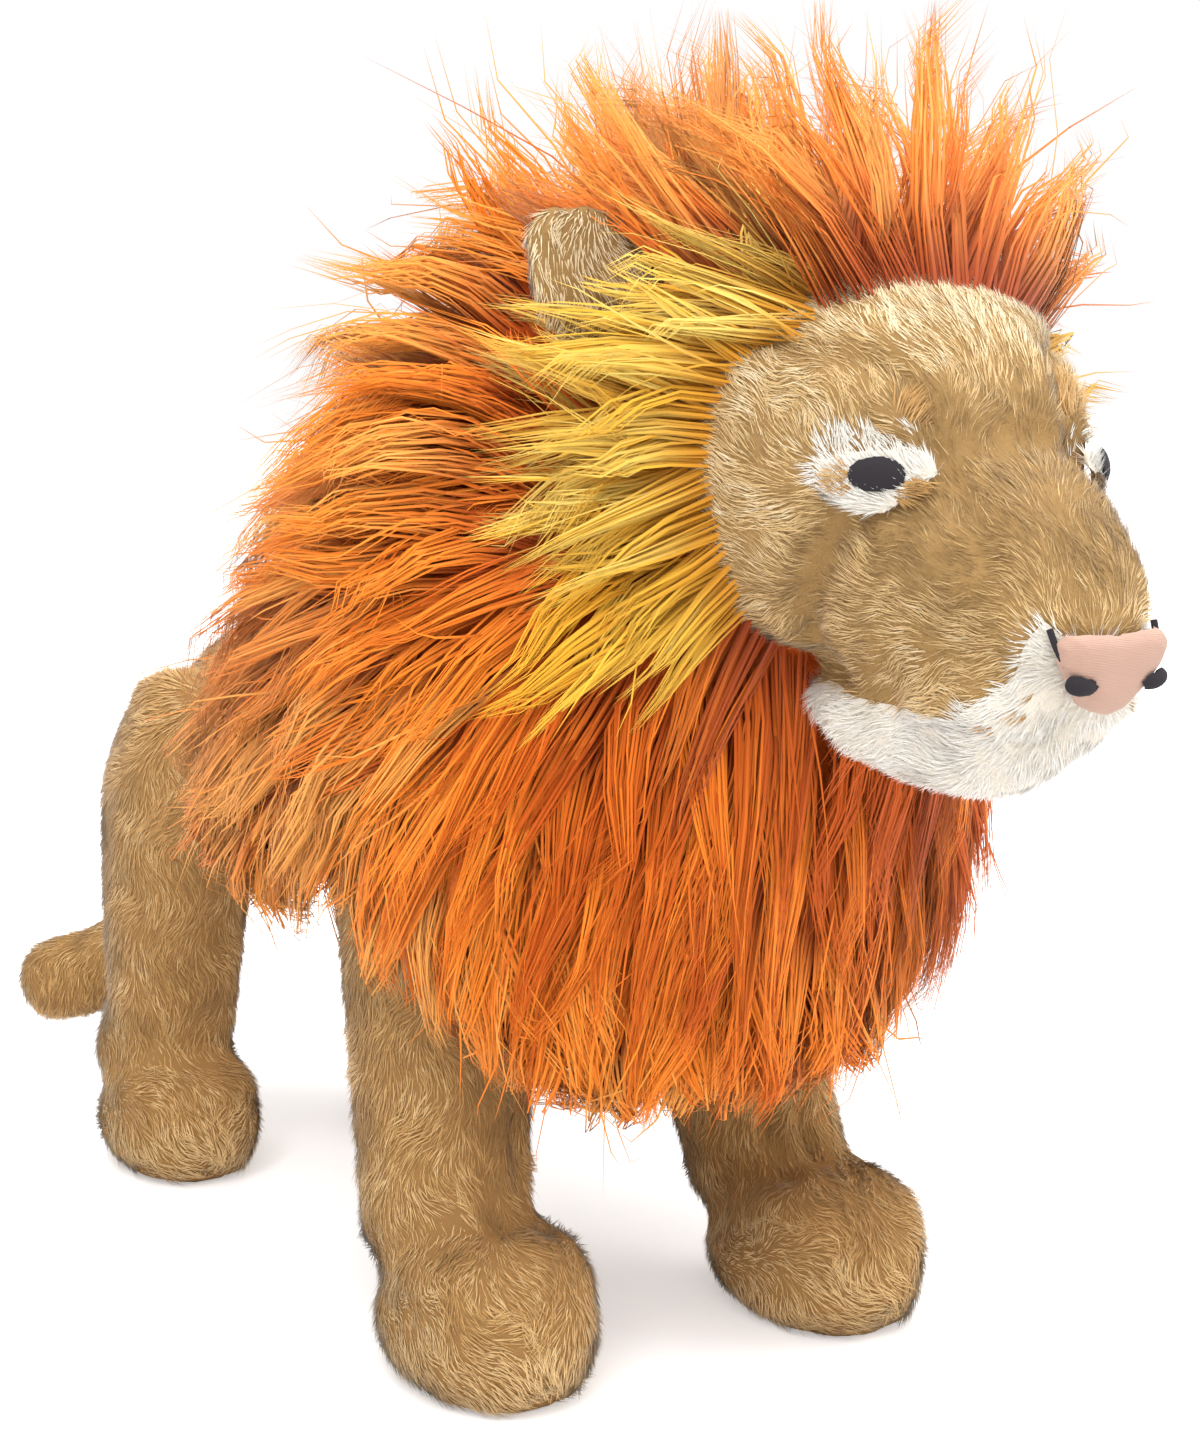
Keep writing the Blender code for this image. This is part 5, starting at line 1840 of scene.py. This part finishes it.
@dataclass
class Lion:
    """The whole plush lion."""

    covers: list[StuffedCover] = field(default_factory=list)
    skin: HeadSkin = field(default=None, init=False)
    knee: float = 0.115
    waist: float = 0.02

    def walls(self) -> BVHTree:
        """Return the surfaces of all covers as one tree."""
        verts: list[tuple[float, ...]] = []
        faces: list[tuple[int, ...]] = []
        for cover in self.covers:
            base = len(verts)
            verts.extend(tuple(v.co) for v in cover.item.data.vertices)
            faces.extend(tuple(base + k for k in f.vertices)
                         for f in cover.item.data.polygons)
        return BVHTree.FromPolygons(verts, faces)

    def body(self) -> list[ShortPile]:
        """Build the body in one with its legs, and the tail, and return their piles."""
        self.covers.append(StuffedCover("neck_cover", ("neck",), Body.TORSO, ORANGE,
                                        inset=0.0060))
        ends = ("fore", "hind")
        limbs = tuple(f"{end}{part}_{side}" for end in ends for part in ("leg", "_paw")
                      for side in SIDES)
        body = StuffedCover("body_cover", ("torso",) + limbs, Body.TORSO, TAN,
                            seams=FORELEG_SEAMS,
                            paws=tuple(limb for limb in limbs if "_paw_" in limb))
        piles = [ShortPile(body, Lay.TOES, 101, name="torso_pile",
                           region=((-FAR, -FAR, self.knee), (FAR, FAR, FAR)))]
        for number, (end, side) in enumerate((e, s) for e in ends for s in SIDES):
            x = (-FAR, 0.0) if side == "right" else (0.0, FAR)
            y = (-FAR, self.waist) if end == "fore" else (self.waist, FAR)
            piles.append(ShortPile(body, Lay.TOES, 111 + number, name=f"{end}leg_pile_{side}",
                                   region=((x[0], y[0], -FAR), (x[1], y[1], self.knee))))
            self.covers.append(StuffedCover(
                f"{end}_sole_cover_{side}", (f"{end}_sole_{side}",), Body.TORSO, SOLE,
                voxel=0.0014, rounding=1, inset=0.0))
        tail = StuffedCover("tail_cover", ("tail",), Body.TAIL, TAN)
        piles.append(ShortPile(tail, Lay.DOWN, 131))
        return piles

    def face(self) -> list[ShortPile]:
        """Build the head's covers and return their piles."""
        head = StuffedCover("head_cover", ("head", "muzzle"), Body.HEAD, FACE)
        jaw = StuffedCover("jaw_cover", ("upper_lip_right", "upper_lip_left", "chin"),
                           Body.HEAD, WHITE)
        self.skin = HeadSkin(head, jaw).build()
        self.covers.extend((head, jaw))
        piles = [ShortPile(cover, lay, seed, form, name, zone, finish, self.skin.ground)
                 for cover, lay, seed, form, name, zone, finish in (
                     (head, Lay.FROM_NOSE, 201, FACE_PILE, "", Zone.TAN_FACE, None),
                     (jaw, Lay.FROM_NOSE, 206, LIP_PILE, "", Zone.WHITE_LIP, None),
                     (jaw, Lay.FROM_NOSE, 208, FRECKLE_PILE, "freckle_pile",
                      Zone.FRECKLES, TAN),
                     (head, Lay.FROM_NOSE, 207, EYE_RING_PILE, "eye_ring_pile",
                      Zone.EYE_RING, WHITE),
                     (head, Lay.FROM_EYE, 209, BROW_TUFT_PILE, "brow_tuft_pile",
                      Zone.BROW_TUFT, TAN))]
        for number, side in enumerate(SIDES):
            patch = StuffedCover("eye_patch_cover_" + side, ("eye_patch_" + side,),
                                 Body.HEAD, WHITE, voxel=0.0009, rounding=2, inset=0.0006)
            ear = StuffedCover("ear_cover_" + side, ("ear_" + side,),
                               Body["EAR_" + side.upper()], FACE, voxel=0.0014, rounding=3,
                               inset=0.0012)
            piles.extend((
                ShortPile(patch, Lay.FROM_NOSE, 221 + number, EYE_PATCH_PILE),
                ShortPile(patch, Lay.FROM_EYE, 226 + number, EYE_CORNER_PILE,
                          "eye_corner_pile_" + side, Zone.EYE_CORNERS, TAN),
                ShortPile(ear, Lay.DOWN, 231 + number, EAR_PILE, tint=0.95)))
        return piles

    def features(self) -> None:
        """Build the nose, nostrils and eyes."""
        SewnFeature("nose_knit", "nose", NOSE_KNIT, 0.0007).build()
        for side in SIDES:
            SewnFeature("eye_stitch_" + side, "eye_" + side, BLACK_THREAD, 0.0004).build()
            SewnFeature("nostril_stitch_" + side, "nostril_" + side, BLACK_THREAD,
                        0.0004, inset=0.0003).build()
        NOSE_EDGE.build()

    def build(self) -> None:
        """Build every piece in order."""
        piles = self.body() + self.face()
        for pile in piles:
            if pile.cover not in self.covers:
                self.covers.append(pile.cover)
        for cover in self.covers:
            if cover.item is None:
                cover.build()
            cover.dress()
        walls = self.walls()
        ears = tuple(self.ear_line(side) for side in SIDES)
        backing = ManeBacking(MANE_PANELS, ears).build()
        for pile in piles:
            pile.build(walls, backing.envelope)
        self.features()
        ManeHair(backing, self.skin.ground, ears).build(walls)
        backing.dress()
        bpy.data.objects.remove(self.skin.ground)

    @staticmethod
    def ear_line(side: str) -> tuple[Point, Point]:
        """Return the inner and outer end of an ear's middle line.

        Args:
            side: The ear's side.

        Returns:
            The two ends.
        """
        low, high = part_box("ear_" + side)
        middle = (low + high) / 2.0
        sign = 1.0 if middle.x > 0.0 else -1.0
        run = Vector((sign * (high.x - low.x), 0.0, high.z - low.z)) * 0.36
        return tuple(middle - run), tuple(middle + run)


def main() -> None:
    """Build the lion and its studio."""
    logging.basicConfig(level=logging.INFO, format="%(name)s: %(message)s")
    Studio().build()
    Lion().build()


if __name__ == "__main__":
    main()
